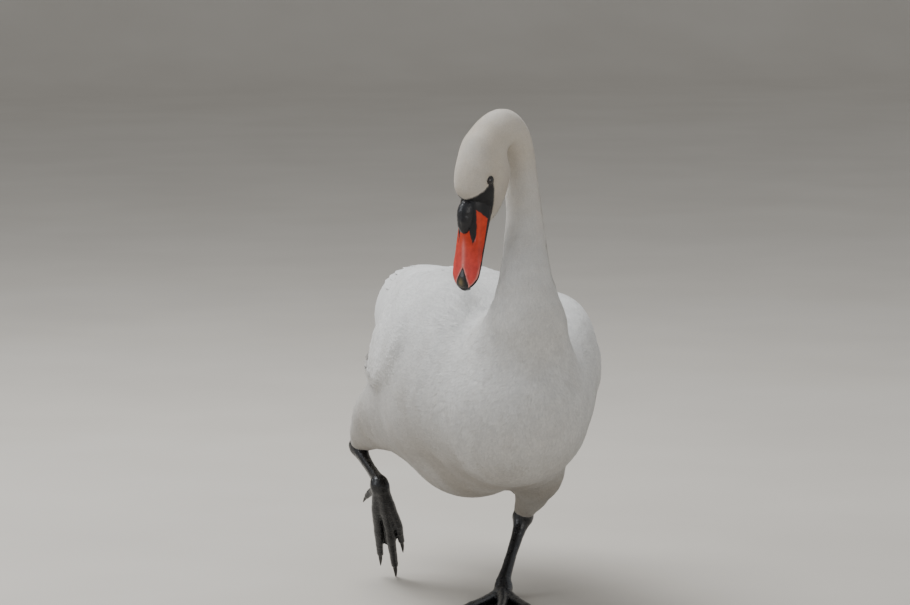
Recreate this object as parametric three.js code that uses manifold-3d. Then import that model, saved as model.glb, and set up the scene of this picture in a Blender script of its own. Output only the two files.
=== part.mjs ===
// A life-size mute swan cob, walking: the left foot is planted, the toes of the right foot trail and
// just touch the floor, and the head is bowed and turned to the swan's right.
// Millimetres, +Z up. The swan walks towards -Y, so its own right side is at -X.
// The flesh is modelled whole, as a smooth field, and parted into named pieces by thin cuts.
import * as THREE from "three";
import { mergeVertices, mergeGeometries } from "three/addons/utils/BufferGeometryUtils.js";
import Module from "manifold-3d";

const wasm = await Module();
wasm.setup();

// ---------- driving dimensions ----------
const GAP = 0.3; // between touching pieces
const TRUNK_SIDE = 100; // half the width of the trunk's core, without flanks and wings
const TRUNK_HEIGHT = 275; // of the trunk's middle above the floor
const TRUNK_ASIDE = -14; // of its middle plane, at the height it rolls about
const ROLL = THREE.MathUtils.degToRad(12); // of the trunk over the planted left foot, as a swan waddles
const ROLL_HEIGHT = 200;
const BODY_BLEND = 40; // how softly the masses of the body run together
const HEAD_BLEND = 12;
const HEAD_TURN = THREE.MathUtils.degToRad(51); // of the crown, from straight ahead to the swan's right
const BILL_FORWARD = THREE.MathUtils.degToRad(11); // of the bill's tip, out from straight down
const BILL_LEAN = THREE.MathUtils.degToRad(-4); // of the bill's tip, to the head's own right
const EYE_RADIUS = 7.2;
const BILL_ROOT = 12; // the places along the bill count from the line between the eyes
const BILL_FEATHERS = 27; // the point of the forehead's feathers
const BILL_LENGTH = 104; // from that point to the tip
const TOE_RADIUS = 6.2;
const WEB_THICKNESS = 2.2;
const CLAW_LENGTH = 14;
const TAIL_LENGTH = 200;
const WING_THICKNESS = 7;
const SMOOTHING = 0.14; // how far a facet may lie from the shape that it stands for, after the cuts
const CELL = { trunk: 36, thigh: 25, neckBase: 22, neck: 16, head: 12.6, knob: 8.5, nail: 7 }; // of the nets

const COLOURS = {
  plumage: 0xe9e6df,
  bill: 0xe2481f,
  black: 0x17171a,
  leg: 0x242428,
  eye: 0x1b120c,
};

// ---------- materials ----------
const finish = (color, roughness) => new THREE.MeshStandardMaterial({ color, roughness, metalness: 0 });
const plumage = finish(COLOURS.plumage, 0.85);
const billSkin = finish(COLOURS.bill, 0.45);
const blackSkin = finish(COLOURS.black, 0.4);
const legSkin = finish(COLOURS.leg, 0.5);
const eyeball = finish(COLOURS.eye, 0.08);

// ---------- small maths ----------
const point = (x, y, z) => new THREE.Vector3(x, y, z);
const mix = THREE.MathUtils.lerp;

// A smooth curve through hand-placed stations [x, y, z, radius], sampled evenly.
function path(stations, steps) {
  const curve = new THREE.CatmullRomCurve3(stations.map(([x, y, z]) => point(x, y, z)), false, "centripetal");
  const last = stations.length - 1;
  return Array.from({ length: steps + 1 }, (_, i) => {
    const t = i / steps;
    const k = Math.min(Math.floor(t * last), last - 1);
    const u = t * last - k;
    const ease = u * u * (3 - 2 * u);
    return { at: curve.getPoint(t), radius: mix(stations[k][3], stations[k + 1][3], (u + ease) / 2) };
  });
}

// ---------- fields: negative inside, roughly the distance in millimetres ----------

// An ellipsoid whose front, back, top and bottom halves each have their own radius.
// along, up and side are the unit axes that it is built on; along points to the front.
function egg({ at, side, front, back, up, down, axes = BODY_AXES }) {
  const [ax, ay, az] = [axes.side, axes.along, axes.up];
  return (x, y, z) => {
    const [dx, dy, dz] = [x - at.x, y - at.y, z - at.z];
    const s = dx * ax.x + dy * ax.y + dz * ax.z;
    const l = dx * ay.x + dy * ay.y + dz * ay.z;
    const u = dx * az.x + dy * az.y + dz * az.z;
    const ry = l > 0 ? front : back;
    const rz = u > 0 ? up : down;
    const reach = Math.hypot(s / side, l / ry, u / rz);
    const slope = Math.hypot(s / side ** 2, l / ry ** 2, u / rz ** 2);
    return slope < 1e-9 ? -Math.min(side, ry, rz) : (reach * (reach - 1)) / slope;
  };
}

// A round limb of changing thickness along a path.
function limb(stations, steps = 24) {
  const line = path(stations, steps);
  return (x, y, z) => {
    let best = Infinity;
    for (let i = 0; i < line.length - 1; i++) {
      const { at: a, radius: ra } = line[i];
      const { at: b, radius: rb } = line[i + 1];
      const [ex, ey, ez] = [b.x - a.x, b.y - a.y, b.z - a.z];
      const [px, py, pz] = [x - a.x, y - a.y, z - a.z];
      const t = Math.min(1, Math.max(0, (px * ex + py * ey + pz * ez) / (ex * ex + ey * ey + ez * ez)));
      const d = Math.hypot(px - t * ex, py - t * ey, pz - t * ez) - mix(ra, rb, t);
      if (d < best) best = d;
    }
    return best;
  };
}

// The union of fields with soft creases, k mm wide.
function blend(k, ...fields) {
  return (x, y, z) => {
    let d = Infinity;
    for (const f of fields) {
      const e = f(x, y, z);
      const h = Math.max(k - Math.abs(d - e), 0) / k;
      d = Math.min(d, e) - (Number.isFinite(h) ? (h * h * k) / 4 : 0);
    }
    return d;
  };
}

const grow = (field, by) => (x, y, z) => field(x, y, z) - by;

// ---------- from fields to solids ----------

// Surface nets: one vertex for each cell that the surface crosses, moved onto the surface.
// The net is closed at the box's faces, where a later cut takes it off. A swollen net has the same
// triangles, moved outwards: it makes the room for a piece that touches this one.
function netOf(field, lo, hi, cell, swell = 0) {
  const count = [hi.x - lo.x, hi.y - lo.y, hi.z - lo.z].map((d) => Math.ceil(d / cell) + 1);
  const [nx, ny, nz] = count;
  const index = (i, j, k) => i + nx * (j + ny * k);
  const place = (i, j, k) => [lo.x + i * cell, lo.y + j * cell, lo.z + k * cell];
  const value = new Float32Array(nx * ny * nz);
  const isEdge = (i, j, k) => i < 1 || j < 1 || k < 1 || i > nx - 2 || j > ny - 2 || k > nz - 2;
  for (let k = 0; k < nz; k++)
    for (let j = 0; j < ny; j++)
      for (let i = 0; i < nx; i++)
        value[index(i, j, k)] = isEdge(i, j, k) ? cell : field(...place(i, j, k));

  const vertices = [];
  const vertexOf = new Map();
  for (let k = 0; k < nz - 1; k++)
    for (let j = 0; j < ny - 1; j++)
      for (let i = 0; i < nx - 1; i++) {
        let inside = 0;
        const sum = [0, 0, 0];
        let crossings = 0;
        const corner = (c) => [i + (c & 1), j + ((c >> 1) & 1), k + (c >> 2)];
        for (let c = 0; c < 8; c++) inside += value[index(...corner(c))] < 0 ? 1 : 0;
        if (inside === 0 || inside === 8) continue;
        for (let c = 0; c < 8; c++)
          for (const bit of [1, 2, 4]) {
            if (c & bit) continue;
            const [a, b] = [corner(c), corner(c | bit)];
            const [va, vb] = [value[index(...a)], value[index(...b)]];
            if (va < 0 === vb < 0) continue;
            const t = va / (va - vb);
            const [pa, pb] = [place(...a), place(...b)];
            for (let m = 0; m < 3; m++) sum[m] += mix(pa[m], pb[m], t);
            crossings++;
          }
        const p = sum.map((v) => v / crossings);
        const nearBox = isEdge(i, j, k) || isEdge(i + 1, j + 1, k + 1);
        vertexOf.set(index(i, j, k), vertices.length / 3);
        vertices.push(...(nearBox ? p : onto(field, p, cell, swell)));
      }

  const triangles = [];
  const STEP = [[1, 0, 0], [0, 1, 0], [0, 0, 1]];
  for (let k = 0; k < nz - 1; k++)
    for (let j = 0; j < ny - 1; j++)
      for (let i = 0; i < nx - 1; i++)
        for (let m = 0; m < 3; m++) {
          const [a, b, c] = STEP[m];
          if ((i < 1 && !a) || (j < 1 && !b) || (k < 1 && !c)) continue;
          const here = value[index(i, j, k)] < 0;
          if (here === value[index(i + a, j + b, k + c)] < 0) continue;
          const [u, v] = [STEP[(m + 1) % 3], STEP[(m + 2) % 3]];
          const cellAt = (du, dv) =>
            vertexOf.get(index(i - du * u[0] - dv * v[0], j - du * u[1] - dv * v[1], k - du * u[2] - dv * v[2]));
          const q = [cellAt(1, 1), cellAt(0, 1), cellAt(0, 0), cellAt(1, 0)];
          if (!here) q.reverse();
          triangles.push(q[0], q[1], q[2], q[0], q[2], q[3]);
        }
  return new wasm.Manifold(
    new wasm.Mesh({
      numProp: 3,
      vertProperties: new Float32Array(vertices),
      triVerts: new Uint32Array(triangles),
    }),
  );
}

function slopeOf(field, x, y, z) {
  const STEP = 0.5;
  return [
    field(x + STEP, y, z) - field(x - STEP, y, z),
    field(x, y + STEP, z) - field(x, y - STEP, z),
    field(x, y, z + STEP) - field(x, y, z - STEP),
  ].map((v) => v / (2 * STEP));
}

// Moves a point onto the field's surface, by no more than a cell, and then out of it by swell.
function onto(field, start, cell, swell) {
  let [x, y, z] = start;
  for (let round = 0; round < 3; round++) {
    const d = field(x, y, z);
    const g = slopeOf(field, x, y, z);
    const square = g[0] ** 2 + g[1] ** 2 + g[2] ** 2;
    if (square < 1e-4) break;
    [x, y, z] = [x - (d * g[0]) / square, y - (d * g[1]) / square, z - (d * g[2]) / square];
  }
  if (Math.hypot(x - start[0], y - start[1], z - start[2]) > cell) [x, y, z] = start;
  const g = slopeOf(field, x, y, z);
  const steep = Math.hypot(...g) / swell;
  return swell ? [x + g[0] / steep, y + g[1] / steep, z + g[2] / steep] : [x, y, z];
}

// A three.js geometry as a solid, turned to face outwards.
function solidOf(geometry) {
  const bare = geometry.index ? geometry.toNonIndexed() : geometry.clone();
  bare.deleteAttribute("normal");
  bare.deleteAttribute("uv");
  const merged = mergeVertices(bare, 1e-3);
  const triVerts = new Uint32Array(merged.index.array);
  const build = () =>
    new wasm.Manifold(new wasm.Mesh({ numProp: 3, vertProperties: merged.attributes.position.array, triVerts }));
  const solid = build();
  if (solid.volume() >= 0) return solid;
  for (let i = 0; i < triVerts.length; i += 3) [triVerts[i + 1], triVerts[i + 2]] = [triVerts[i + 2], triVerts[i + 1]];
  return build();
}

function geometryOf(solid) {
  const bodies = solid.simplify(SMOOTHING).decompose();
  const whole = bodies.reduce((best, body) => (body.volume() > best.volume() ? body : best));
  const { numProp, vertProperties, triVerts } = whole.getMesh();
  const positions = new Float32Array((vertProperties.length / numProp) * 3);
  for (let i = 0; i < positions.length / 3; i++)
    positions.set(vertProperties.subarray(i * numProp, i * numProp + 3), i * 3);
  const geometry = new THREE.BufferGeometry();
  geometry.setAttribute("position", new THREE.BufferAttribute(positions, 3));
  geometry.setIndex(new THREE.BufferAttribute(new Uint32Array(triVerts), 1));
  geometry.computeVertexNormals();
  return geometry;
}

// A thin disc across a limb, which parts it. along is the way the limb runs.
function parting(at, along, radius) {
  const disc = new THREE.CylinderGeometry(radius, radius, GAP, 32);
  disc.applyQuaternion(new THREE.Quaternion().setFromUnitVectors(point(0, 1, 0), along.clone().normalize()));
  return solidOf(disc.translate(at.x, at.y, at.z));
}

// The body of a solid whose middle is nearest to a point; shavings do not count.
function pieceNear(solid, at) {
  const SHAVING = 0.01; // of the whole solid
  const far = (body) => {
    const { min, max } = body.boundingBox();
    return point(...min).add(point(...max)).multiplyScalar(0.5).distanceTo(at);
  };
  const bodies = solid.decompose().filter((body) => body.volume() > SHAVING * solid.volume());
  return bodies.sort((a, b) => far(a) - far(b))[0];
}

// ---------- lofts ----------

// A closed skin over rings of points, with each end closed by a fan.
function loft(rings) {
  const n = rings[0].length;
  const middle = (ring) => ring.reduce((sum, p) => sum.add(p), point(0, 0, 0)).divideScalar(ring.length);
  const all = [...rings.flat(), middle(rings[0]), middle(rings[rings.length - 1])];
  const faces = [];
  for (let r = 0; r < rings.length - 1; r++)
    for (let i = 0; i < n; i++) {
      const [a, b] = [r * n + i, r * n + ((i + 1) % n)];
      faces.push(a, b, a + n, b, b + n, a + n);
    }
  const top = (rings.length - 1) * n;
  for (let i = 0; i < n; i++) {
    faces.push(all.length - 2, (i + 1) % n, i);
    faces.push(all.length - 1, top + i, top + ((i + 1) % n));
  }
  return solidOf(new THREE.BufferGeometry().setFromPoints(all).setIndex(faces));
}

// A tube along stations [x, y, z, radius] with round ends, swollen by extra.
function tube(stations, { steps = 3, sides = 5, extra = 0 } = {}) {
  const line = path(stations, steps);
  const CAP = { out: 0.75, wide: 0.66 }; // how far out an end's last ring lies, and how wide it is
  const direction = (i) => line[Math.min(i + 1, steps)].at.clone().sub(line[Math.max(i - 1, 0)].at).normalize();
  const ring = (i, out, wide) => {
    const along = direction(i);
    const u = point(1, 0, 0).addScaledVector(along, -along.x).normalize();
    const v = along.clone().cross(u);
    const radius = line[i].radius + extra;
    return Array.from({ length: sides }, (_, k) => {
      const a = (2 * Math.PI * k) / sides;
      return line[i].at.clone()
        .addScaledVector(along, out * radius)
        .addScaledVector(u, wide * radius * Math.cos(a))
        .addScaledVector(v, wide * radius * Math.sin(a));
    });
  };
  const middle = line.map((_, i) => ring(i, 0, 1));
  return loft([ring(0, -CAP.out, CAP.wide), ...middle, ring(steps, CAP.out, CAP.wide)]);
}

// A web of skin between two toes: a plate of even thickness whose free edge is hollow.
// belly pushes its middle along a direction, as a folded web hangs.
function web(toeA, toeB, { reach = 0.9, hollow = 0.13, belly = point(0, 0, 0), lift = point(0, 0, 1) }) {
  const ALONG = 3;
  const ACROSS = 2;
  const [lineA, lineB] = [toeA, toeB].map((stations) =>
    new THREE.CatmullRomCurve3(stations.map(([x, y, z]) => point(x, y, z)), false, "centripetal"));
  const sheet = (side) =>
    Array.from({ length: ALONG + 1 }, (_, i) =>
      Array.from({ length: ACROSS + 1 }, (_, j) => {
        const t = j / ACROSS;
        const bow = 4 * t * (1 - t);
        const s = (i / ALONG) * (reach - hollow * bow);
        return lineA.getPoint(s).lerp(lineB.getPoint(s), t)
          .addScaledVector(belly, bow * s)
          .addScaledVector(lift, (side * WEB_THICKNESS) / 2);
      }));
  const [over, under] = [sheet(1), sheet(-1)];
  // Each ring runs out along the upper sheet and back along the lower one.
  return loft(over.map((row, i) => [...row, ...[...under[i]].reverse()]));
}

const above = (solid, height) => solid.trimByPlane([0, 0, 1], height);

// ---------- the trunk's and the head's own frames ----------
const BODY_AXES = {
  side: point(Math.cos(ROLL), 0, -Math.sin(ROLL)),
  along: point(0, -1, 0),
  up: point(Math.sin(ROLL), 0, Math.cos(ROLL)),
};
// A place in the trunk, given as if it stood upright.
const inBody = (x, y, z) =>
  point(TRUNK_ASIDE, y, ROLL_HEIGHT).addScaledVector(BODY_AXES.side, x).addScaledVector(BODY_AXES.up, z - ROLL_HEIGHT);
const bodyEgg = (x, y, z, radii) => egg({ at: inBody(x, y, z), axes: BODY_AXES, ...radii });

const HEAD_AT = point(-54, -192, 540);
const crownLevel = point(-Math.sin(HEAD_TURN), -Math.cos(HEAD_TURN), 0);
const HEAD_AXES = {
  along: crownLevel.clone().multiplyScalar(Math.sin(BILL_FORWARD)).add(point(0, 0, -Math.cos(BILL_FORWARD))),
  up: crownLevel.clone().multiplyScalar(Math.cos(BILL_FORWARD)).add(point(0, 0, Math.sin(BILL_FORWARD))),
};
HEAD_AXES.side = HEAD_AXES.up.clone().cross(HEAD_AXES.along);
for (const name of ["along", "side"]) HEAD_AXES[name].applyAxisAngle(HEAD_AXES.up, BILL_LEAN);
// A place in the head: to the swan's left, along the bill, and up through the crown.
const inHead = (side, along, up) =>
  HEAD_AT.clone()
    .addScaledVector(HEAD_AXES.side, side)
    .addScaledVector(HEAD_AXES.along, along)
    .addScaledVector(HEAD_AXES.up, up);
const headEgg = (along, up, radii) => egg({ at: inHead(0, along, up), axes: HEAD_AXES, ...radii });

// ---------- the flesh ----------
const trunk = blend(BODY_BLEND,
  bodyEgg(0, 30, TRUNK_HEIGHT, { side: TRUNK_SIDE, front: 205, back: 250, up: 132, down: 143 }), // core
  bodyEgg(74, -20, TRUNK_HEIGHT + 15, { side: 51, front: 120, back: 175, up: 106, down: 108 }), // left flank
  bodyEgg(-74, -20, TRUNK_HEIGHT + 15, { side: 51, front: 120, back: 175, up: 106, down: 108 }), // right flank
  bodyEgg(0, -146, TRUNK_HEIGHT - 11, { side: 92, front: 122, back: 160, up: 92, down: 92 }), // breast
  bodyEgg(0, 235, TRUNK_HEIGHT + 26, { side: 72, front: 150, back: 95, up: 54, down: 70 })); // rump

// The neck runs from inside the breast, forwards, up and back, and over in an arch to the head.
const NECK = [
  [0, -125, 285, 60],
  [3, -172, 325, 60],
  [5, -200, 362, 49],
  [5, -203, 392, 38.5],
  [6, -194, 420, 31],
  [10, -175, 452, 26],
  [14.5, -151, 495, 20.8],
  [13, -138, 538, 19.4],
  [8.5, -140, 566, 19.8],
  [-1, -149.5, 585, 21],
  [-14, -161.5, 594, 22.5],
  [-28, -172.5, 588, 23.5],
  [-43, -183, 572, 25],
];
const NECK_STEPS = 48;
const THIGHS = {
  left: [
    [56, 14, 196, 52],
    [74, 38, 160, 38],
    [79, 62, 130, 22.5],
    [76, 84, 107, 14.5],
    [74, 91, 99, 12],
  ],
  right: [
    [-70, 80, 232, 50],
    [-86, 140, 216, 42],
    [-96, 188, 193, 26],
    [-101, 216, 177, 15.5],
    [-103, 225, 171.5, 12],
  ],
};
const neck = limb(NECK, NECK_STEPS);
const thighs = { left: limb(THIGHS.left), right: limb(THIGHS.right) };
const head = blend(HEAD_BLEND,
  headEgg(-10, -2, { side: 26, front: 34, back: 29, up: 25, down: 32 }), // cranium
  headEgg(12, 0, { side: 20.5, front: 18, back: 30, up: 19, down: 24 }), // forehead and lores
  headEgg(-4, -16, { side: 25, front: 44, back: 30, up: 24, down: 24 }), // cheeks
  headEgg(-4, -32, { side: 20, front: 54, back: 32, up: 28, down: 19 })); // throat, bunched by the bow
const torso = blend(BODY_BLEND * 0.7, trunk, neck, thighs.left, thighs.right);
const flesh = blend(HEAD_BLEND, torso, head);

// ---------- the parting of the flesh ----------
const neckLine = path(NECK, NECK_STEPS);
// A cut across the neck at a share of its length.
function neckCut(share, radius) {
  const i = Math.round(share * (neckLine.length - 1));
  const along = neckLine[i + 1].at.clone().sub(neckLine[i - 1].at);
  return parting(neckLine[i].at, along, radius);
}
const CUTS = {
  base: parting(point(4, -196, 344), point(0.02, -0.42, 0.9), 105),
  low: neckCut(0.4, 46),
  high: neckCut(0.62, 34),
};
const SIDES = { left: 1, right: -1 };
const BOXES = {
  trunk: [point(-175, -300, 86), point(180, 372, 470)],
  neckBase: [point(-110, -310, 260), point(120, -60, 480)],
  neck: [point(-90, -262, 365), point(62, -96, 640)],
  head: [point(-128, -266, 456), point(8, -120, 628)],
  left: [point(-30, -84, 70), point(160, 140, 290)],
  right: [point(-180, -10, 130), point(22, 262, 320)],
};
// A region of the flesh and the same region with its gap, from one net.
const region = (field, box, cell) => [netOf(field, ...box, cell), netOf(field, ...box, cell, GAP)];
const [headRegion, headRoom] = region(grow(head, 3), BOXES.head, CELL.head);
const thighRegions = Object.fromEntries(Object.keys(SIDES).map((name) =>
  [name, region(grow(thighs[name], 7), BOXES[name], CELL.trunk)]));

// ---------- the exported group ----------
const swan = new THREE.Group();
function add(name, solid, material) {
  const mesh = new THREE.Mesh(geometryOf(solid), material);
  mesh.name = name;
  swan.add(mesh);
}

// ---------- head, eyes and bill ----------
const EYE_PLACE = [21.4, 0, 3.5]; // to the side, along the bill and up, in the head's frame
const [headWhole, headSwollen] = region(flesh, BOXES.head, CELL.head);
let headSolid = headWhole.intersect(headRegion);
for (const [name, sign] of Object.entries(SIDES)) {
  const at = inHead(sign * EYE_PLACE[0], EYE_PLACE[1], EYE_PLACE[2]);
  const ball = (radius) => solidOf(new THREE.SphereGeometry(radius, 10, 7).translate(at.x, at.y, at.z));
  headSolid = headSolid.subtract(ball(EYE_RADIUS + GAP));
  add(`eye_${name}`, ball(EYE_RADIUS), eyeball);
}
add("head", pieceNear(headSolid, HEAD_AT), plumage);

// The bill: half a rounded section over or under the line of the mouth.
// Stations: along the bill, half width, height over the mouth, depth under it.
const BILL_TIP = BILL_FEATHERS + BILL_LENGTH;
const BILL = [
  [BILL_ROOT, 17, 26, 15],
  [34, 17.2, 26.5, 14.5],
  [48, 17.5, 23, 13],
  [60, 17.8, 19.5, 11.5],
  [74, 18.4, 16.3, 10],
  [90, 19, 12, 8],
  [106, 19.3, 9.2, 6],
  [BILL_TIP - 14, 17.4, 7.4, 4.6],
  [BILL_TIP - 7, 12.5, 5.6, 3.4],
  [BILL_TIP - 2.5, 7, 3.6, 2.2],
  [BILL_TIP, 1.8, 1.4, 0.8],
];
const LOWER_INSET = 1.6; // of the lower bill's sides within the upper bill's
const MOUTH_UP = -17.5; // the mouth's line at the bill's root, from the line between the eyes
const MOUTH_TIP_UP = -15.5;
const mouthAt = (along) => mix(MOUTH_UP, MOUTH_TIP_UP, (along - BILL_ROOT) / (BILL_TIP - BILL_ROOT));
function jaw(sign) {
  const SECTION = 6;
  const FULLNESS = 0.8; // under 1 squares the section's shoulders
  return loft(BILL.map(([along, half, over, under]) => {
    const height = sign > 0 ? over : under;
    const width = sign > 0 ? half : Math.max(half - LOWER_INSET, 0.8);
    return Array.from({ length: SECTION + 1 }, (_, i) => {
      const a = (Math.PI * i) / SECTION;
      const up = Math.sin(a) ** FULLNESS * height;
      return inHead(Math.cos(a) * width, along, mouthAt(along) + sign * (GAP / 2 + up));
    });
  }));
}
// The knob of a cob: a smooth lobe over the bill's root.
const KNOB_AT = 44;
const knobField = blend(5,
  headEgg(KNOB_AT - 2, 4.5, { side: 10.4, front: 17, back: 18, up: 12.5, down: 15 }),
  headEgg(KNOB_AT + 9, 2, { side: 8, front: 10, back: 14, up: 11, down: 12 }));
// The nail: a shield on the bill's tip.
const NAIL_AT = BILL_TIP - 10;
const nailField = headEgg(NAIL_AT, mouthAt(NAIL_AT) + 1.5, { side: 9.2, front: 11.5, back: 17, up: 7.6, down: 4.4 });
const around = (along, reach) => [inHead(0, along, 0).subScalar(reach), inHead(0, along, 0).addScalar(reach)];
const [knob, knobRoom] = region(knobField, around(KNOB_AT, 34), CELL.knob);
const [nail, nailRoom] = region(nailField, around(NAIL_AT, 32), CELL.nail);
const ofBill = (solid) => solid.subtract(headSwollen);
add("bill_knob", pieceNear(ofBill(knob), inHead(0, KNOB_AT, 6)), blackSkin);
add("bill_upper", pieceNear(ofBill(jaw(1)).subtract(knobRoom).subtract(nailRoom), inHead(0, 75, -8)), billSkin);
add("bill_lower", pieceNear(ofBill(jaw(-1)).subtract(nailRoom), inHead(0, 75, -20)), blackSkin);
add("bill_nail", nail, blackSkin);

// ---------- neck ----------
const neckNet = netOf(flesh, ...BOXES.neck, CELL.neck).subtract(headRoom);
add("neck_upper", pieceNear(neckNet.subtract(CUTS.high), point(-2, -155, 570)), plumage);
add("neck_middle", pieceNear(neckNet.subtract(CUTS.high).subtract(CUTS.low), point(11, -168, 470)), plumage);

// ---------- trunk and thighs ----------
const [trunkNet, trunkSwollen] = region(flesh, BOXES.trunk, CELL.trunk);
const body = trunkNet.subtract(CUTS.base).subtract(CUTS.low);
const neckBase = netOf(flesh, ...BOXES.neckBase, CELL.neckBase).subtract(CUTS.base).subtract(CUTS.low);
add("neck_lower", pieceNear(neckBase, point(5, -205, 378)), plumage);
add("trunk", pieceNear(body.subtract(thighRegions.left[1]).subtract(thighRegions.right[1]), point(0, 50, 250)), plumage);

// Shanks: the stub of the shin inside the thigh's feathers, the heel's joint, and the long bone down to
// the toes' root. Stations [x, y, z, radius].
const SHANKS = {
  left: {
    shin: [[77, 76, 118, 8], [75, 88, 101, 9.5]],
    heel: [73.5, 92, 92, 11.6],
    bone: [[72, 90.5, 88, 10], [63, 79.5, 69, 7.4], [53, 66, 51, 6.6], [44, 53, 34, 7.2], [37, 44, 21, 8.6]],
  },
  right: {
    shin: [[-99, 206, 182, 8], [-102, 220, 173, 9.5]],
    heel: [-103, 228, 166, 11.6],
    bone: [[-103, 224, 162, 10], [-101, 204, 152.5, 7.4], [-99, 182, 145, 6.6], [-97, 159, 138, 7.2], [-96, 144, 133.5, 8.6]],
  },
};
function shankOf(name, extra = 0) {
  const { shin, heel: [x, y, z, r], bone } = SHANKS[name];
  const ball = solidOf(new THREE.SphereGeometry(r + extra, 8, 6).rotateX(Math.PI / 2).translate(x, y, z));
  return tube(bone, { steps: 5, sides: 6, extra }).add(tube(shin, { steps: 1, sides: 6, extra })).add(ball);
}
const THIGH_MIDDLES = { left: point(70, 20, 190), right: point(-75, 120, 220) };
for (const name of Object.keys(SIDES)) {
  const [inside] = thighRegions[name];
  const thigh = netOf(flesh, ...BOXES[name], CELL.thigh).intersect(inside).subtract(shankOf(name, GAP));
  add(`thigh_${name}`, pieceNear(thigh, THIGH_MIDDLES[name]), plumage);
  add(`shank_${name}`, shankOf(name), legSkin);
}

// ---------- tail and wings ----------
// The tail is a long, flat wedge of feathers, rooted in the rump.
const TAIL_DROOP = THREE.MathUtils.degToRad(9);
const TAIL_ROOT = [0, 262, 306];
// Stations of a wedge: share of its length, half width, half thickness.
const TAIL = [[0, 44, 22], [0.2, 52, 17], [0.45, 55, 10.5], [0.7, 45, 5.5], [0.88, 26, 3], [1, 7, 1.2]];
const BLADE = [[0, 22, 13], [0.35, 20, 10], [0.7, 14, 6], [0.9, 7, 3.2], [1, 2.5, 1.2]];
// A wedge in the trunk's frame from its root, drooping, and turned aside about its root.
function wedge([x, y, z], length, droop, stations, turn = 0, inset = 0) {
  const ROUND = 8;
  return loft(stations.map(([share, half, thick]) =>
    Array.from({ length: ROUND }, (_, i) => {
      const a = (2 * Math.PI * i) / ROUND;
      const [side, out, up] = [(half + inset) * Math.cos(a), share * length, (thick + inset) * Math.sin(a)];
      return inBody(
        x + side * Math.cos(turn) + out * Math.sin(turn),
        y + (out * Math.cos(turn) - side * Math.sin(turn)) * Math.cos(droop) + up * Math.sin(droop),
        z + up * Math.cos(droop) - out * Math.sin(droop));
    })));
}
const tail = (inset) => wedge(TAIL_ROOT, TAIL_LENGTH, TAIL_DROOP, TAIL, 0, inset);
add("tail", pieceNear(tail(0).subtract(trunkSwollen), point(0, 380, 270)), plumage);

// Each wing lies folded: an even shell of coverts and tertials over the flank and the back, cut to the
// wing's outline, with the blade of the long primaries behind.
// The outline, seen from the side: [along the trunk, height].
const WING_OUTLINE = [
  [-66, 306], [-52, 350], [-8, 378], [56, 392], [112, 414], [190, 440], [290, 410],
  [362, 342], [352, 318], [296, 300], [214, 272], [120, 246], [30, 236], [-36, 256],
];
const wingShape = blend(30, grow(torso, WING_THICKNESS),
  bodyEgg(40, 196, TRUNK_HEIGHT + 50, { side: 50, front: 120, back: 165, up: 60, down: 44 }),
  bodyEgg(-40, 196, TRUNK_HEIGHT + 50, { side: 50, front: 120, back: 165, up: 60, down: 44 }));
const wingNet = netOf(wingShape, point(-176, -110, 190), point(168, 378, 430), CELL.trunk)
  .subtract(trunkSwollen)
  .subtract(tail(GAP));
// The outline as a prism in the trunk's frame, from just beside its middle plane outwards.
function wingCutter(sign) {
  const outline = new THREE.SplineCurve(WING_OUTLINE.map(([y, z]) => new THREE.Vector2(y, z)));
  outline.points.push(outline.points[0].clone());
  const prism = new THREE.ExtrudeGeometry(new THREE.Shape(outline.getPoints(22)), { depth: 190, bevelEnabled: false });
  const frame = new THREE.Matrix4().makeBasis(
    BODY_AXES.along.clone().negate(), BODY_AXES.up, BODY_AXES.side.clone().multiplyScalar(sign));
  return solidOf(prism.applyMatrix4(frame.setPosition(inBody((sign * GAP) / 2, 0, 0))));
}
for (const [name, sign] of Object.entries(SIDES)) {
  const blade = wedge([sign * 36, 276, 322], 126, THREE.MathUtils.degToRad(13), BLADE, -sign * 0.14);
  const wing = wingNet.intersect(wingCutter(sign)).add(blade.subtract(trunkSwollen).subtract(tail(GAP)))
    .subtract(netOf(flesh, ...BOXES[name], CELL.thigh, GAP));
  add(`wing_${name}`, pieceNear(wing, inBody(sign * 80, 140, 320)), plumage);
}

// ---------- feet ----------
// Toes: stations from the root to the claw. The planted foot lies flat; the other one hangs furled.
const TOES = {
  left: {
    inner: [[32, 36, 9, 8], [8, 6, 6, TOE_RADIUS], [-16, -22, 5.4, TOE_RADIUS - 0.6], [-38, -45, 4.4, 4.4]],
    middle: [[33, 34, 9, 8.4], [22, -14, 6, TOE_RADIUS + 0.4], [9, -58, 5.4, TOE_RADIUS], [-4, -98, 4.4, 4.6]],
    outer: [[36, 35, 9, 8], [40, -10, 6, TOE_RADIUS], [43, -50, 5.4, TOE_RADIUS - 0.4], [44, -92, 4.4, 4.4]],
    hind: [[38, 46, 9, 6], [45, 57, 8, 4.8], [50, 66, 6, 3.6]],
  },
  right: {
    inner: [[-91, 140, 124, 7], [-80, 153, 101, TOE_RADIUS - 0.2], [-66, 174, 74, TOE_RADIUS - 0.8], [-57, 194, 50, 4.2]],
    middle: [[-95, 139, 124, 8], [-86, 157, 96, TOE_RADIUS + 0.2], [-73, 184, 57, TOE_RADIUS - 0.4], [-62, 210, 17.5, 4.6]],
    outer: [[-98, 141, 124, 7.2], [-95, 163, 96, TOE_RADIUS], [-87, 190, 64, TOE_RADIUS - 0.6], [-79, 217, 31, 4.3]],
    hind: [[-98, 150, 123, 5.8], [-102, 163, 118, 4.6], [-105, 173, 111, 3.6]],
  },
};
const FLOOR = 0;
const HANG = { left: point(0, 0, 0), right: point(4, 14, -6) }; // of a web's middle
const LIFT = { left: point(0, 0, 1), right: point(0.1, 0.8, 0.6) }; // across a web's thickness
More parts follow.
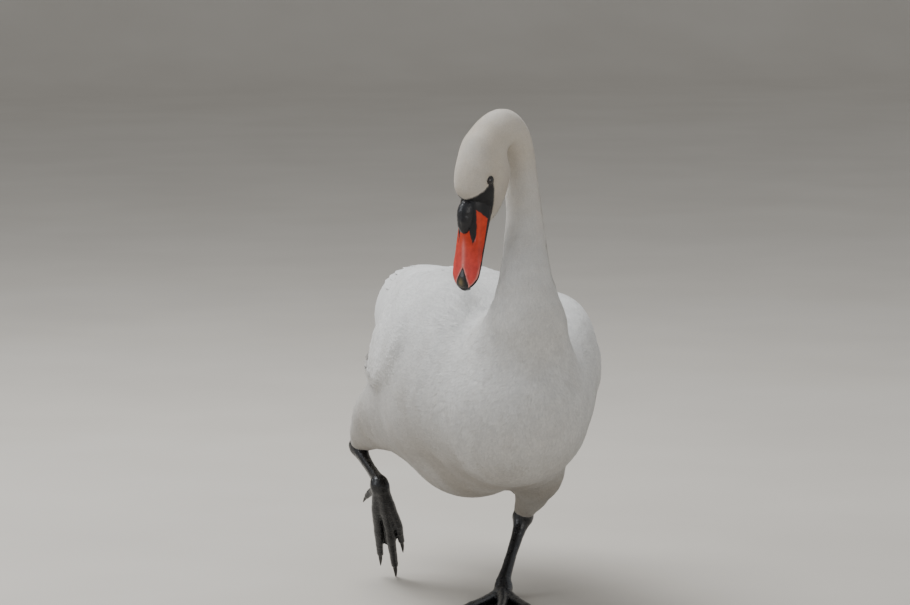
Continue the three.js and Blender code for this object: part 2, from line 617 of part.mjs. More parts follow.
const lowered = (stations, height) => stations.map(([x, y, , r]) => [x, y, height, r]);

for (const name of Object.keys(SIDES)) {
  const toes = TOES[name];
  const planted = name === "left";
  // A planted web lies on the floor; a furled one hangs between the toes.
  const rail = (toe) => (planted ? lowered(toes[toe], WEB_THICKNESS / 2) : toes[toe]);
  let foot = tube(toes.middle);
  for (const toe of ["inner", "outer", "hind"]) foot = foot.add(tube(toes[toe], { steps: toe === "hind" ? 2 : 3 }));
  for (const [a, b] of [["inner", "middle"], ["middle", "outer"]])
    foot = foot.add(web(rail(a), rail(b), { belly: HANG[name], lift: LIFT[name] }));

  for (const [toe, stations] of Object.entries(toes)) {
    const [from, to] = stations.slice(-2).map(([x, y, z]) => point(x, y, z));
    const out = to.clone().sub(from).normalize();
    const droop = planted ? point(0, 0, -0.1) : point(0, 0.12, -0.32);
    const radius = stations[stations.length - 1][3];
    const length = CLAW_LENGTH * (toe === "hind" ? 0.6 : 1);
    const [mid, tip] = [0.45, 1].map((share) =>
      to.clone().addScaledVector(out, radius * 0.8 + length * share).addScaledVector(droop, length * share ** 2));
    if (planted) tip.z = Math.max(tip.z, 1.2);
    const claw = (extra) => tube([
      [to.x, to.y, to.z, radius * 0.62],
      [mid.x, mid.y, mid.z, radius * 0.5],
      [tip.x, tip.y, tip.z, 1],
    ], { steps: 2, sides: 5, extra });
    foot = foot.subtract(claw(GAP));
    add(`claw_${name}_${toe}`, above(claw(0), FLOOR), blackSkin);
  }
  foot = above(foot.subtract(shankOf(name, GAP)), FLOOR);
  add(`foot_${name}`, pieceNear(foot, planted ? point(5, -20, 8) : point(-80, 170, 80)), legSkin);
}

// The origin is on the floor, under the middle of the swan's box.
const box = new THREE.Box3().setFromObject(swan);
swan.position.set(-(box.min.x + box.max.x) / 2, -(box.min.y + box.max.y) / 2, 0);

export default swan;
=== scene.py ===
"""A life-size mute swan, walking: skin, feathers, bill, eyes, legs, stage, lights and camera."""

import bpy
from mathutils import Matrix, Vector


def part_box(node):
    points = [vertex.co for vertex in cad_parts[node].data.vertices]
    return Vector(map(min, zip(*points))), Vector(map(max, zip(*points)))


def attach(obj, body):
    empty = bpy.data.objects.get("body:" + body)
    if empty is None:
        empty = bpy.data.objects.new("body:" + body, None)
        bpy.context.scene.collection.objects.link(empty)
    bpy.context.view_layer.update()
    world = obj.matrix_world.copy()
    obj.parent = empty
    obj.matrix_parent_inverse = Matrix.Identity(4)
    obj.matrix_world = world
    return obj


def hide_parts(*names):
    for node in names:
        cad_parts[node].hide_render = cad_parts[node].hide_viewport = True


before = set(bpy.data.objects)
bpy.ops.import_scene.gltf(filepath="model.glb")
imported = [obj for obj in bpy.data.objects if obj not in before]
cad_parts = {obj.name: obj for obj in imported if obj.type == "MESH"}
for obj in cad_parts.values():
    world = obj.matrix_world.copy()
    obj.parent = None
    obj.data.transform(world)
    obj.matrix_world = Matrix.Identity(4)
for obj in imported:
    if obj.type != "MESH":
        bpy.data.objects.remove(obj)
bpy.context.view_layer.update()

import copy
import math

import bmesh
import bpy
import numpy as np
from mathutils import Vector

MM = 0.001
TURN = 2 * math.pi
SIDES = {"left": 1, "right": -1}


# ============================== small tools ==============================
def length_of(v):
    return np.linalg.norm(v, axis=-1)


def unit(v):
    v = np.asarray(v, float)
    return v / np.maximum(np.linalg.norm(v, axis=-1, keepdims=True), 1e-12)


def along(line):
    """The length run along a line up to each of its points."""
    return np.concatenate([[0], np.cumsum(length_of(np.diff(line, axis=0)))])


def ways(line, axis=0):
    return unit(np.gradient(line, axis=axis))


def ramp(x, a, b):
    """0 at a to 1 at b, smoothly."""
    t = np.clip((x - a) / (b - a), 0, 1)
    return t * t * (3 - 2 * t)


def bump_at(x, middle, width):
    """A bell curve: 1 at the middle."""
    return np.exp(-(((x - middle) / width) ** 2))


def waves(p, size, seed, count=9):
    """Soft random variation of a place, about -1 to 1, whose lumps are about size mm across."""
    source = np.random.default_rng(seed)
    k = unit(source.normal(size=(count, 3))) * (TURN / size) * source.uniform(0.5, 1.3, (count, 1))
    phase = source.uniform(0, TURN, count)
    return np.sin(p @ k.T + phase).sum(-1) / math.sqrt(count) * 0.8


# ============================== the model's own shape, in millimetres ==============================
# The same masses as the CAD model, so that skin and feathers lie where its solids lie.
TRUNK_SIDE = 100
TRUNK_HEIGHT = 275
ROLL = math.radians(12)
ROLL_HEIGHT = 200
ROLL_CENTRE = np.array([-14.0, 0, ROLL_HEIGHT])
HEAD_TURN = math.radians(51)
BILL_FORWARD = math.radians(11)
BILL_LEAN = math.radians(-4)
BILL_ROOT = 12
BILL_TIP = 131

BODY_SIDE = np.array([math.cos(ROLL), 0, -math.sin(ROLL)])
BODY_ALONG = np.array([0.0, -1, 0])
BODY_UP = np.array([math.sin(ROLL), 0, math.cos(ROLL)])
BODY_AXES = (BODY_SIDE, BODY_ALONG, BODY_UP)


def turned(v, axis, angle):
    """v turned about a unit axis."""
    cos, sin = math.cos(angle), math.sin(angle)
    return v * cos + np.cross(axis, v) * sin + axis * (axis @ v) * (1 - cos)


def head_axes():
    """The head's side, its way towards the bill's tip, and the way out of its crown."""
    level = np.array([-math.sin(HEAD_TURN), -math.cos(HEAD_TURN), 0])
    overhead = np.array([0.0, 0, 1])
    tipward = level * math.sin(BILL_FORWARD) - overhead * math.cos(BILL_FORWARD)
    up = level * math.cos(BILL_FORWARD) + overhead * math.sin(BILL_FORWARD)
    side = np.cross(up, tipward)
    return turned(side, up, BILL_LEAN), turned(tipward, up, BILL_LEAN), up


HEAD_AXES = HEAD_SIDE, HEAD_ALONG, HEAD_UP = head_axes()
HEAD_AT = np.array([-54.0, -192, 540])
HEAD_REACH = 75


def in_body(x, y, z):
    """Places in the trunk, given as if it stood upright."""
    x, y, z = (np.asarray(v, float)[..., None] for v in (x, y, z))
    return ROLL_CENTRE + y * np.array([0, 1.0, 0]) + x * BODY_SIDE + (z - ROLL_HEIGHT) * BODY_UP


def of_body(p):
    """The reverse of in_body: side, y and height."""
    d = p - ROLL_CENTRE
    return d @ BODY_SIDE, p[..., 1], d @ BODY_UP + ROLL_HEIGHT


def in_head(side, tipward, up):
    side, tipward, up = (np.asarray(v, float)[..., None] for v in (side, tipward, up))
    return HEAD_AT + side * HEAD_SIDE + tipward * HEAD_ALONG + up * HEAD_UP


def of_head(p):
    d = p - HEAD_AT
    return d @ HEAD_SIDE, d @ HEAD_ALONG, d @ HEAD_UP


def on_head(p):
    return length_of(p - HEAD_AT) < HEAD_REACH


# Fields: negative inside, roughly the distance in millimetres.
def egg(at, side, front, back, up, down, axes=BODY_AXES):
    def field(p):
        d = p - at
        s, l, u = (d @ a for a in axes)
        ry = np.where(l > 0, front, back)
        rz = np.where(u > 0, up, down)
        reach = np.sqrt((s / side) ** 2 + (l / ry) ** 2 + (u / rz) ** 2)
        slope = np.sqrt((s / side**2) ** 2 + (l / ry**2) ** 2 + (u / rz**2) ** 2)
        return np.where(slope < 1e-9, -min(side, up, down), reach * (reach - 1) / np.maximum(slope, 1e-9))
    return field


def body_egg(x, y, z, *radii):
    return egg(in_body(x, y, z), *radii)


def head_egg(tipward, up, *radii):
    return egg(in_head(0, tipward, up), *radii, axes=HEAD_AXES)


def centripetal(points, t):
    """The centripetal Catmull-Rom curve that the CAD model's limbs follow."""
    points = np.asarray(points, float)
    last = len(points) - 1
    before, after = 2 * points[0] - points[1], 2 * points[-1] - points[-2]
    padded = np.concatenate([[before], points, [after]])
    out = []
    for share in np.atleast_1d(t):
        i = min(int(math.floor(last * share)), last - 1)
        w = last * share - i
        p0, p1, p2, p3 = padded[i:i + 4]
        d0, d1, d2 = (np.sum((a - b) ** 2) ** 0.25 for a, b in ((p0, p1), (p1, p2), (p2, p3)))
        t1 = ((p1 - p0) / d0 - (p2 - p0) / (d0 + d1) + (p2 - p1) / d1) * d1
        t2 = ((p2 - p1) / d1 - (p3 - p1) / (d1 + d2) + (p3 - p2) / d2) * d1
        out.append(p1 + t1 * w + (-3 * p1 + 3 * p2 - 2 * t1 - t2) * w**2 + (2 * p1 - 2 * p2 + t1 + t2) * w**3)
    return np.array(out)


def path(stations, steps):
    """Points and radii sampled evenly along a limb."""
    stations = np.asarray(stations, float)
    last = len(stations) - 1
    t = np.arange(steps + 1) / steps
    k = np.minimum((t * last).astype(int), last - 1)
    u = t * last - k
    share = (u + u * u * (3 - 2 * u)) / 2
    radius = stations[k, 3] * (1 - share) + stations[k + 1, 3] * share
    return centripetal(stations[:, :3], t), radius


FAR = 60  # beyond this a limb cannot change the blended shape


def limb(stations, steps):
    line, radius = path(stations, steps)
    low, high = (line - radius[:, None]).min(0), (line + radius[:, None]).max(0)

    def field(p):
        out = np.sqrt(np.sum(np.maximum(np.maximum(low - p, p - high), 0) ** 2, -1))
        near = out < FAR
        places = p[near]
        best = np.full(len(places), np.inf)
        for a, b, ra, rb in zip(line[:-1], line[1:], radius[:-1], radius[1:]):
            e = b - a
            q = places - a
            t = np.clip(q @ e / (e @ e), 0, 1)
            apart = np.einsum("ij,ij->i", q, q) - 2 * t * (q @ e) + t * t * (e @ e)
            np.minimum(best, np.sqrt(apart) - (ra + (rb - ra) * t), out=best)
        out[near] = best
        return out
    return field


def blend(k, *fields):
    def field(p):
        d = fields[0](p)
        for f in fields[1:]:
            e = f(p)
            h = np.maximum(k - np.abs(d - e), 0) / k
            d = np.minimum(d, e) - h * h * k / 4
        return d
    return field


# Stations of the limbs: x, y, z and radius.
NECK = [
    [0, -125, 285, 60], [3, -172, 325, 60], [5, -200, 362, 49], [5, -203, 392, 38.5], [6, -194, 420, 31],
    [10, -175, 452, 26], [14.5, -151, 495, 20.8], [13, -138, 538, 19.4], [8.5, -140, 566, 19.8],
    [-1, -149.5, 585, 21], [-14, -161.5, 594, 22.5], [-28, -172.5, 588, 23.5], [-43, -183, 572, 25]]
THIGHS = {
    "left": [[56, 14, 196, 52], [74, 38, 160, 38], [79, 62, 130, 22.5], [76, 84, 107, 14.5],
             [74, 91, 99, 12]],
    "right": [[-70, 80, 232, 50], [-86, 140, 216, 42], [-96, 188, 193, 26], [-101, 216, 177, 15.5],
              [-103, 225, 171.5, 12]]}

trunk_field = blend(
    40,
    body_egg(0, 30, TRUNK_HEIGHT, TRUNK_SIDE, 205, 250, 132, 143),
    body_egg(74, -20, TRUNK_HEIGHT + 15, 51, 120, 175, 106, 108),
    body_egg(-74, -20, TRUNK_HEIGHT + 15, 51, 120, 175, 106, 108),
    body_egg(0, -146, TRUNK_HEIGHT - 11, 92, 122, 160, 92, 92),
    body_egg(0, 235, TRUNK_HEIGHT + 26, 72, 150, 95, 54, 70))
head_field = blend(
    12,
    head_egg(-10, -2, 26, 34, 29, 25, 32),
    head_egg(12, 0, 20.5, 18, 30, 19, 24),
    head_egg(-4, -16, 25, 44, 30, 24, 24),
    head_egg(-4, -32, 20, 54, 32, 28, 19))
torso_field = blend(28, trunk_field, limb(NECK, 40), *(limb(THIGHS[name], 16) for name in SIDES))
flesh_field = blend(12, torso_field, head_field)

# The frame has its origin under the middle of the model's box: the left eye's place gives the shift.
eye_box = np.array([list(corner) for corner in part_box("eye_left")]) / MM
SHIFT = eye_box.mean(0) - in_head(21.4, 0, 3.5)
SHIFT[2] = 0.0


# ============================== grids and nets ==============================
class Grid:
    """A field sampled on a lattice, for quick reading."""

    def __init__(self, field, low, high, cell):
        self.low = np.array(low, float)
        self.cell = cell
        self.n = np.ceil((np.array(high) - self.low) / cell).astype(int) + 1
        self.v = np.stack([field(p) for p in self.slabs()])

    def slabs(self):
        """The places of the lattice, a slab for each step along x."""
        xs, ys, zs = (self.low[m] + self.cell * np.arange(self.n[m]) for m in range(3))
        y, z = np.meshgrid(ys, zs, indexing="ij")
        for x in xs:
            yield np.stack([np.full_like(y, x), y, z], -1)

    def changed(self, rule):
        """The same lattice holding rule(places, this grid's values there)."""
        other = copy.copy(self)
        other.v = np.stack([rule(p, v) for p, v in zip(self.slabs(), self.v)])
        return other

    def at(self, p):
        v = self.v
        t = (p - self.low) / self.cell
        i = np.clip(np.floor(t).astype(int), 0, self.n - 2)
        f = np.clip(t - i, 0, 1)
        if v.ndim == 4:
            f = f[..., None, :]
        x, y, z = i[..., 0], i[..., 1], i[..., 2]
        fx, fy, fz = f[..., 0], f[..., 1], f[..., 2]

        def edge(y, z):
            return v[x, y, z] * (1 - fx) + v[x + 1, y, z] * fx
        low = edge(y, z) * (1 - fy) + edge(y + 1, z) * fy
        high = edge(y, z + 1) * (1 - fy) + edge(y + 1, z + 1) * fy
        return low * (1 - fz) + high * fz

    def slope(self, p):
        h = 0.7 * self.cell
        g = [self.at(p + h * e) - self.at(p - h * e) for e in np.eye(3)]
        return np.stack(g, -1) / (2 * h)


class Nested:
    """One grid inside a box, and another elsewhere."""

    def __init__(self, inner, outer, low, high):
        self.inner, self.outer, self.low, self.high = inner, outer, low, high

    def pick(self, p):
        return np.all((p > self.low) & (p < self.high), -1)

    def at(self, p):
        return np.where(self.pick(p), self.inner.at(p), self.outer.at(p))

    def slope(self, p):
        return np.where(self.pick(p)[..., None], self.inner.slope(p), self.outer.slope(p))


FLATTEST = 0.09  # the least square of a slope that a step is divided by


def settle(grid, p, depth, rounds, most=25, share=1.0):
    """Points moved along the slope until they lie depth under the grid's surface, and the normals there."""
    for _ in range(rounds):
        g = grid.slope(p)
        step = (grid.at(p) + depth) / np.maximum(np.sum(g * g, -1), FLATTEST)
        p = p - (np.clip(step, -most, most) * share)[..., None] * g
    return p, unit(grid.slope(p))


def nets(grid, rounds=1):
    """A closed net of quads over the grid's surface: a corner in each cell that the surface crosses."""
    v = grid.v
    inside = v < 0
    n = np.array(v.shape)
    corners = [(a, b, c) for a in (0, 1) for b in (0, 1) for c in (0, 1)]
    blocks = (tuple(slice(o[m], n[m] - 1 + o[m]) for m in range(3)) for o in corners)
    count = sum(inside[block].astype(np.int8) for block in blocks)
    active = (count > 0) & (count < 8)
    cells = np.argwhere(active)
    index = -np.ones(active.shape, int)
    index[active] = np.arange(len(cells))
    total, hits = np.zeros((len(cells), 3)), np.zeros(len(cells))
    quads = []
    for m, e in enumerate(np.eye(3, dtype=int)):
        for o in corners:
            if o[m]:
                continue
            a = cells + np.array(o)
            va, vb = v[tuple(a.T)], v[tuple((a + e).T)]
            cross = (va < 0) != (vb < 0)
            t = np.where(cross, va / np.where(cross, va - vb, 1), 0)
            total += np.where(cross[:, None], a + t[:, None] * e, 0)
            hits += cross
        # A quad across each lattice edge along e that the surface crosses.
        u, w = np.roll(e, 1), np.roll(e, 2)
        first = inside[tuple(slice(0, n[i] - e[i]) for i in range(3))]
        second = inside[tuple(slice(e[i], n[i]) for i in range(3))]
        at = np.argwhere(first != second)
        at = at[np.all(((at >= 1) & (at <= n - 2)) | (e == 1), 1)]
        ring = np.stack([index[tuple((at - d).T)] for d in (u + w, w, 0 * u, u)], 1)
        outward = ~inside[tuple(at.T)]
        ring[outward] = ring[outward][:, ::-1]
        quads.append(ring)
    verts = grid.low + grid.cell * total / hits[:, None]
    if rounds:
        verts, _ = settle(grid, verts, 0.0, rounds)
    quads = np.concatenate(quads)
    return verts, quads[np.all(quads >= 0, 1)]


def ring_net(rings):
    """Vertices and quads over rings of equal length."""
    count, n = rings.shape[:2]
    r, i = np.meshgrid(np.arange(count - 1), np.arange(n), indexing="ij")
    a, b = r * n + i, r * n + (i + 1) % n
    quads = np.stack([a, b, b + n, a + n], -1).reshape(-1, 4)
    return rings.reshape(-1, 3), quads


def capped_net(rings):
    """A net over rings, each a flat loop, closed by quads across the first and the last."""
    count, n = rings.shape[:2]
    verts, quads = ring_net(rings)
    top = (count - 1) * n
    first = [[j, j + 1, n - 2 - j, n - 1 - j] for j in range(n // 2 - 1)]
    last = [[top + j + 1, top + j, top + n - 1 - j, top + n - 2 - j] for j in range(n // 2 - 1)]
    return verts, np.concatenate([quads, first, last])


def piece(name, net, material, tint, slot, *nodes, uv=None, values=None, normals=None):
    """An object from verts in millimetres and faces of 3 or 4 corners; tint per vertex, uv per corner."""
    verts, faces = net
    mesh = bpy.data.meshes.new(name)
    mesh.vertices.add(len(verts))
    mesh.vertices.foreach_set("co", ((verts + SHIFT) * MM).astype(np.float32).ravel())
    mesh.loops.add(faces.size)
    mesh.loops.foreach_set("vertex_index", faces.astype(np.int32).ravel())
    mesh.polygons.add(len(faces))
    mesh.polygons.foreach_set("loop_start", (np.arange(len(faces)) * faces.shape[1]).astype(np.int32))
    mesh.update(calc_edges=True)
    mesh.polygons.foreach_set("use_smooth", np.ones(len(faces), bool))
    if uv is not None:
        mesh.uv_layers.new(name="OFBake").data.foreach_set("uv", np.asarray(uv, np.float32).ravel())
    rgba = np.ones((len(verts), 4), np.float32)
    rgba[:, :3] = tint
    mesh.color_attributes.new("tint", "FLOAT_COLOR", "POINT").data.foreach_set("color", rgba.ravel())
    for key, numbers in (values or {}).items():
        mesh.attributes.new(key, "FLOAT", "POINT").data.foreach_set("value", np.asarray(numbers, np.float32))
    mesh.materials.append(material)
    mesh.validate()
    if normals is not None and len(normals) == len(mesh.vertices):
        mesh.normals_split_custom_set_from_vertices(normals)
    obj = bpy.data.objects.new(name, mesh)
    bpy.context.scene.collection.objects.link(obj)
    if nodes:
        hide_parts(*nodes)
    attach(obj, "root")


# ============================== materials ==============================
class Nodes:
    """Short ways to build a material's node tree."""
    SOCKETS = {"color": "Base Color", "rough": "Roughness", "bump": "Normal", "spec": "Specular IOR Level",
               "coat": "Coat Weight", "coat_rough": "Coat Roughness", "sheen": "Sheen Weight",
               "sheen_rough": "Sheen Roughness"}

    def __init__(self, name):
        self.material = bpy.data.materials.new(name)
        self.material.use_nodes = True
        self.tree = self.material.node_tree
        self.shader = self.tree.nodes["Principled BSDF"]

    def add(self, kind, values=None, **settings):
        node = self.tree.nodes.new(kind)
        for key, value in settings.items():
            setattr(node, key, value)
        for key, value in (values or {}).items():
            self.put(node, key, value)
        return node

    def put(self, node, key, value):
        if isinstance(value, bpy.types.Node):
            value = value.outputs[0]
        if isinstance(value, bpy.types.NodeSocket):
            self.tree.links.new(value, node.inputs[key])
        else:
            node.inputs[key].default_value = value

    def set(self, **values):
        for key, value in values.items():
            self.put(self.shader, self.SOCKETS[key], value)
        return self.material

    def let_through(self, share, colour):
        """A thin feather shows a share of the light that falls on its far side."""
        behind = self.add("ShaderNodeBsdfTranslucent", {"Color": colour})
        both = self.add("ShaderNodeMixShader", {0: share, 1: self.shader, 2: behind})
        self.put(self.tree.nodes["Material Output"], "Surface", both)

    def tint(self):
        return self.add("ShaderNodeAttribute", attribute_name="tint").outputs["Color"]

    def value(self, name):
        return self.add("ShaderNodeAttribute", attribute_name=name).outputs["Fac"]

    def place(self):
        return self.add("ShaderNodeTexCoord").outputs["Object"]

    def noise(self, scale, detail=3.0, rough=0.55):
        return self.add("ShaderNodeTexNoise", {"Vector": self.place(), "Scale": scale, "Detail": detail,
                                               "Roughness": rough})

    def cells(self, scale, values=None, **settings):
        return self.add("ShaderNodeTexVoronoi", {"Vector": self.place(), "Scale": scale, **(values or {})},
                        **settings).outputs["Distance"]

    def mapped(self, value, low, high, to_low, to_high):
        return self.add("ShaderNodeMapRange", {"Value": value, "From Min": low, "From Max": high,
                                               "To Min": to_low, "To Max": to_high})

    def spread(self, noise, to_low, to_high):
        """A noise's usual range stretched to the range wanted."""
        return self.mapped(noise, 0.3, 0.7, to_low, to_high)

    def mixed(self, factor, a, b, how="MIX"):
        return self.add("ShaderNodeMix", {0: factor, 6: a, 7: b}, data_type="RGBA", blend_type=how).outputs[2]

    def toned(self, colour, tone):
        return self.mixed(1.0, colour, tone, "MULTIPLY")

    def math(self, how, a, b):
        return self.add("ShaderNodeMath", {0: a, 1: b}, operation=how)

    def bump(self, height, strength, distance, **more):
        return self.add("ShaderNodeBump", {"Height": height, "Strength": strength, "Distance": distance,
                                           **more})


def plumage_material(name, fine, rough, through):
    """White feathers: the tint of each tuft, broken up by soft noise, with hair-fine relief."""
    n = Nodes(name)
    shade = n.math("MULTIPLY", n.spread(n.noise(38, 4), 0.94, 1.03), n.spread(n.noise(fine, 3), 0.93, 1.04))
    colour = n.toned(n.tint(), shade)
    n.let_through(through, colour)
    return n.set(color=colour, rough=n.spread(n.noise(210, 2), rough - 0.08, rough + 0.08),
                 bump=n.bump(n.noise(fine * 2.2, 4), 0.15, 0.0004), sheen=0.25, sheen_rough=0.45, spec=0.25)


# ============================== the lie of the feathers ==============================
neck_line, neck_radius = path(NECK, 40)
SPINE = np.concatenate([
    in_head([0, 0, 0, 0], [34, 16, -6, -22], [-3, -4, -8, -14]),
    neck_line[::-1],
    in_body(np.zeros(8), [-70, -20, 40, 110, 180, 250, 330, 430], [284, 283, 283, 285, 290, 297, 300, 292])])
SPINE_RADIUS = [18, 23, 26, 26, *neck_radius[::-1], 96, 106, 110, 106, 92, 72, 45, 12]
SPINE_DEPTH = [0.7, 0.8, 0.9, 1.0, *np.interp(neck_radius[::-1], [19, 26, 38, 60], [1.1, 1.3, 2.0, 3.4]),
               4.2, 4.6, 4.6, 4.6, 4.6, 4.6, 4.6, 4]
LEG_LINES = {name: path(THIGHS[name], 12) for name in SIDES}
LEG_RUN = 720.0  # the run along the body that the legs' feathers count as


def guides():
    """Stations down the middle of the body and legs: place, radius, way, the coat's depth, and run."""
    rows = list(zip(SPINE, SPINE_RADIUS, ways(SPINE), SPINE_DEPTH, along(SPINE)))
    for line, radius in LEG_LINES.values():
        depth = np.interp(radius, [12, 16, 40], [1.2, 1.8, 4.4])
        rows += zip(line, radius, ways(line), depth, [LEG_RUN] * len(line))
    return rows


def guidance(p, rows=guides()):
    """The lie of the feathers (3), the coat's depth and the run along the body from the bill."""
    out = np.zeros(p.shape[:-1] + (5,))
    total = np.zeros(p.shape[:-1])
    for at, radius, way, depth, run in rows:
        w = (np.maximum(length_of(p - at) - radius, 0) + 7)**-3.0
        out += w[..., None] * np.concatenate([way, [depth, run]])
        total += w
    return out / total[..., None]


LOW, HIGH = (-165, -300, 70), (170, 400, 640)
HEAD_LOW, HEAD_HIGH = np.array([-118, -262, 462]), np.array([52, -96, 634])
flesh_grid = Grid(flesh_field, LOW, HIGH, 4.0)
guide_grid = Grid(guidance, LOW, HIGH, 12.0)
fine_grid = Grid(flesh_field, HEAD_LOW, HEAD_HIGH, 2.2)
head_surface = Nested(fine_grid, flesh_grid, HEAD_LOW + 5, HEAD_HIGH - 5)


def run_at(p):
    """How far along the body from the bill a place lies."""
    return guide_grid.at(p)[..., 4]


# ============================== skin ==============================
BUFF = np.array([0.72, 0.615, 0.465])
WHITE = np.array([0.80, 0.795, 0.775])
# Grey-brown: real soiling, and painted shade on the lower breast.
SOIL_AND_SHADE = np.array([0.37, 0.315, 0.245])
BLACK = np.array([0.0105, 0.0105, 0.0115])
# The bare lores' borders: along the bill for each half width of the forehead, and up for each place along
# the cheek.
BROW = np.array([[0, 27.2], [9.5, 23.7], [16, 19.6], [21.3, 13.2], [23.4, 7.6], [25.0, 3.2], [30, 1.0]])
CHEEK = np.array([[0, 2.0], [4.0, -3.6], [9.5, -7.6], [15.4, -10.5], [24, -17], [33, -23.5], [40, -25.5],
                  [46, -22], [50, -17]])


def lore_edge(p):
    """How far in millimetres a place on the head lies inside the bare black skin before the eye."""
    s, f, u = of_head(p)
    over = (f - np.interp(np.abs(s), *BROW.T)) / 1.5
    under = (u - np.interp(f, *CHEEK.T)) / 1.25
    return np.minimum(over, under)


def coat_tint(p):
    """White plumage, stained buff on the head and neck; the lower breast soiled and darkened with painted
    shade.
    """
    run = run_at(p)
    height = of_body(p)[2]
    stain = 0.42 * (1 - ramp(run, 60, 330)) + 0.12 * (1 - ramp(run, 300, 520))
    stain = stain * (1 + 0.14 * waves(p, 44, 1)) + 0.03 * waves(p, 9, 2)
    # Painted shade and real soil: the lower breast darkened grey-brown by height, then fine streaks of dirt.
    dirt_and_shade = 0.64 * (1 - ramp(height, 140, 350)) * ramp(run, 380, 520) * (1 + 0.3 * waves(p, 70, 3))
    dirt_and_shade = dirt_and_shade + 0.12 * ramp(waves(p * np.array([1, 1, 0.45]), 26, 4), 0.2, 1.3) * ramp(run, 330, 450)
    stain, dirt_and_shade = np.clip(stain, 0, 0.9)[..., None], np.clip(dirt_and_shade, 0, 0.7)[..., None]
    colour = WHITE * (1 - stain) + BUFF * stain
    return colour * (1 - dirt_and_shade) + SOIL_AND_SHADE * dirt_and_shade


BARE_DEPTH = 0.7


def skin_level(p, flesh):
    """The flesh with the coat's depth taken off it."""
    lore = ramp(lore_edge(p), -1.5, 1.0) * on_head(p)
    return flesh + guide_grid.at(p)[..., 3] * (1 - lore) + BARE_DEPTH * lore


FINE_MIDDLE = in_head(0, 4, -10)
FINE_REACH = 66


def skin_net():
    """The skin, its head split once more and laid on the finer lattice."""
    verts, quads = nets(flesh_grid.changed(skin_level))
    head_skin = fine_grid.changed(skin_level)
    near = length_of(verts - FINE_MIDDLE) < FINE_REACH - 4
    mesh = bpy.data.meshes.new("work")
    mesh.from_pydata(verts.tolist(), [], quads.tolist())
    bm = bmesh.new()
    bm.from_mesh(mesh)
    bm.verts.ensure_lookup_table()
    edges = [e for e in bm.edges if near[e.verts[0].index] and near[e.verts[1].index]]
    bmesh.ops.subdivide_edges(bm, edges=edges, cuts=1, use_grid_fill=True)
    bmesh.ops.triangulate(bm, faces=bm.faces)
    out = np.array([v.co[:] for v in bm.verts])
    tris = np.array([[v.index for v in f.verts] for f in bm.faces])
    bm.free()
    bpy.data.meshes.remove(mesh)
    reach = length_of(out - FINE_MIDDLE)
    pick = np.all((out > HEAD_LOW + 8) & (out < HEAD_HIGH - 8), 1) & (reach < FINE_REACH)
    moved, _ = settle(head_skin, out[pick], 0.0, 3)
    share = (1 - ramp(reach[pick], FINE_REACH - 12, FINE_REACH))[:, None]
    out[pick] = out[pick] * (1 - share) + moved * share
    return out, tris


def skin_material():
    n = Nodes("skin_under_feathers")
    bare = n.value("bare")
    colour = n.toned(n.tint(), n.spread(n.noise(300, 4), 0.9, 1.05))
    relief = n.mixed(bare, n.noise(420, 4), n.cells(900))
    rough = n.mixed(bare, (0.82, 0.82, 0.82, 1.0), n.spread(n.noise(160, 3), 0.30, 0.46))
    return n.set(color=colour, rough=rough, bump=n.bump(relief, 0.3, 0.0005), spec=0.3)


skin_verts, skin_tris = skin_net()
bare = ramp(lore_edge(skin_verts), -0.8, 0.8) * on_head(skin_verts)
skin_tint = coat_tint(skin_verts) * (1 - bare[:, None]) + BLACK * bare[:, None]
piece("skin", (skin_verts, skin_tris), skin_material(), skin_tint, "plumage", "head", "neck_upper",
      "neck_middle", "neck_lower", "trunk", "thigh_left", "thigh_right", values={"bare": bare})


# ============================== the coat's common tools ==============================
NEIGHBOURS = [(x, y, z) for x in (-1, 0, 1) for y in (-1, 0, 1) for z in (-1, 0, 1)]


def uncrowded(places, gaps):
    """The numbers of the places that no kept place before them is nearer to than their own gap."""
    kept, chosen = {}, []
    boxes = np.floor(places / gaps.max()).astype(int)
    for i, ((bx, by, bz), (x, y, z), gap) in enumerate(zip(boxes.tolist(), places.tolist(), gaps.tolist())):
        near = (q for dx, dy, dz in NEIGHBOURS for q in kept.get((bx + dx, by + dy, bz + dz), ()))
        if all((q[0] - x) ** 2 + (q[1] - y) ** 2 + (q[2] - z) ** 2 >= gap * gap for q in near):
            kept.setdefault((bx, by, bz), []).append((x, y, z))
            chosen.append(i)
    return chosen


def scattered(verts, faces, spacing_of, keep, seed):
    """Roots spread over a mesh, about one for each spacing_of(place) squared, nowhere crowded."""
    source = np.random.default_rng(seed)
    tris = faces if faces.shape[1] == 3 else np.concatenate([faces[:, [0, 1, 2]], faces[:, [0, 2, 3]]])
    a, b, c = (verts[tris[:, i]] for i in range(3))
    middle = (a + b + c) / 3
    use = keep(middle) > -8
    a, b, c, middle = a[use], b[use], c[use], middle[use]
    area = length_of(np.cross(b - a, c - a)) / 2
    number = source.poisson(3.2 * area / spacing_of(middle)**2)
    pick = np.repeat(np.arange(len(a)), number)
    u, v = source.uniform(size=(2, len(pick)))
    flip = u + v > 1
    u, v = np.where(flip, 1 - u, u), np.where(flip, 1 - v, v)
    p = a[pick] + u[:, None] * (b - a)[pick] + v[:, None] * (c - a)[pick]
    p = p[keep(p) > 0]
    p = p[source.permutation(len(p))]
    return p[uncrowded(p, spacing_of(p) * 0.78)]


def lie_at(p, normal):
    """The way feathers lie on the surface at a place, with soft swirls."""
    way = guide_grid.at(p)[..., :3]
    way = unit(way - np.sum(way * normal, -1, keepdims=True) * normal)
    swirl = 0.16 * waves(p, 85, 21) + 0.10 * waves(p, 30, 22)
    return way * np.cos(swirl)[..., None] + np.cross(normal, way) * np.sin(swirl)[..., None]


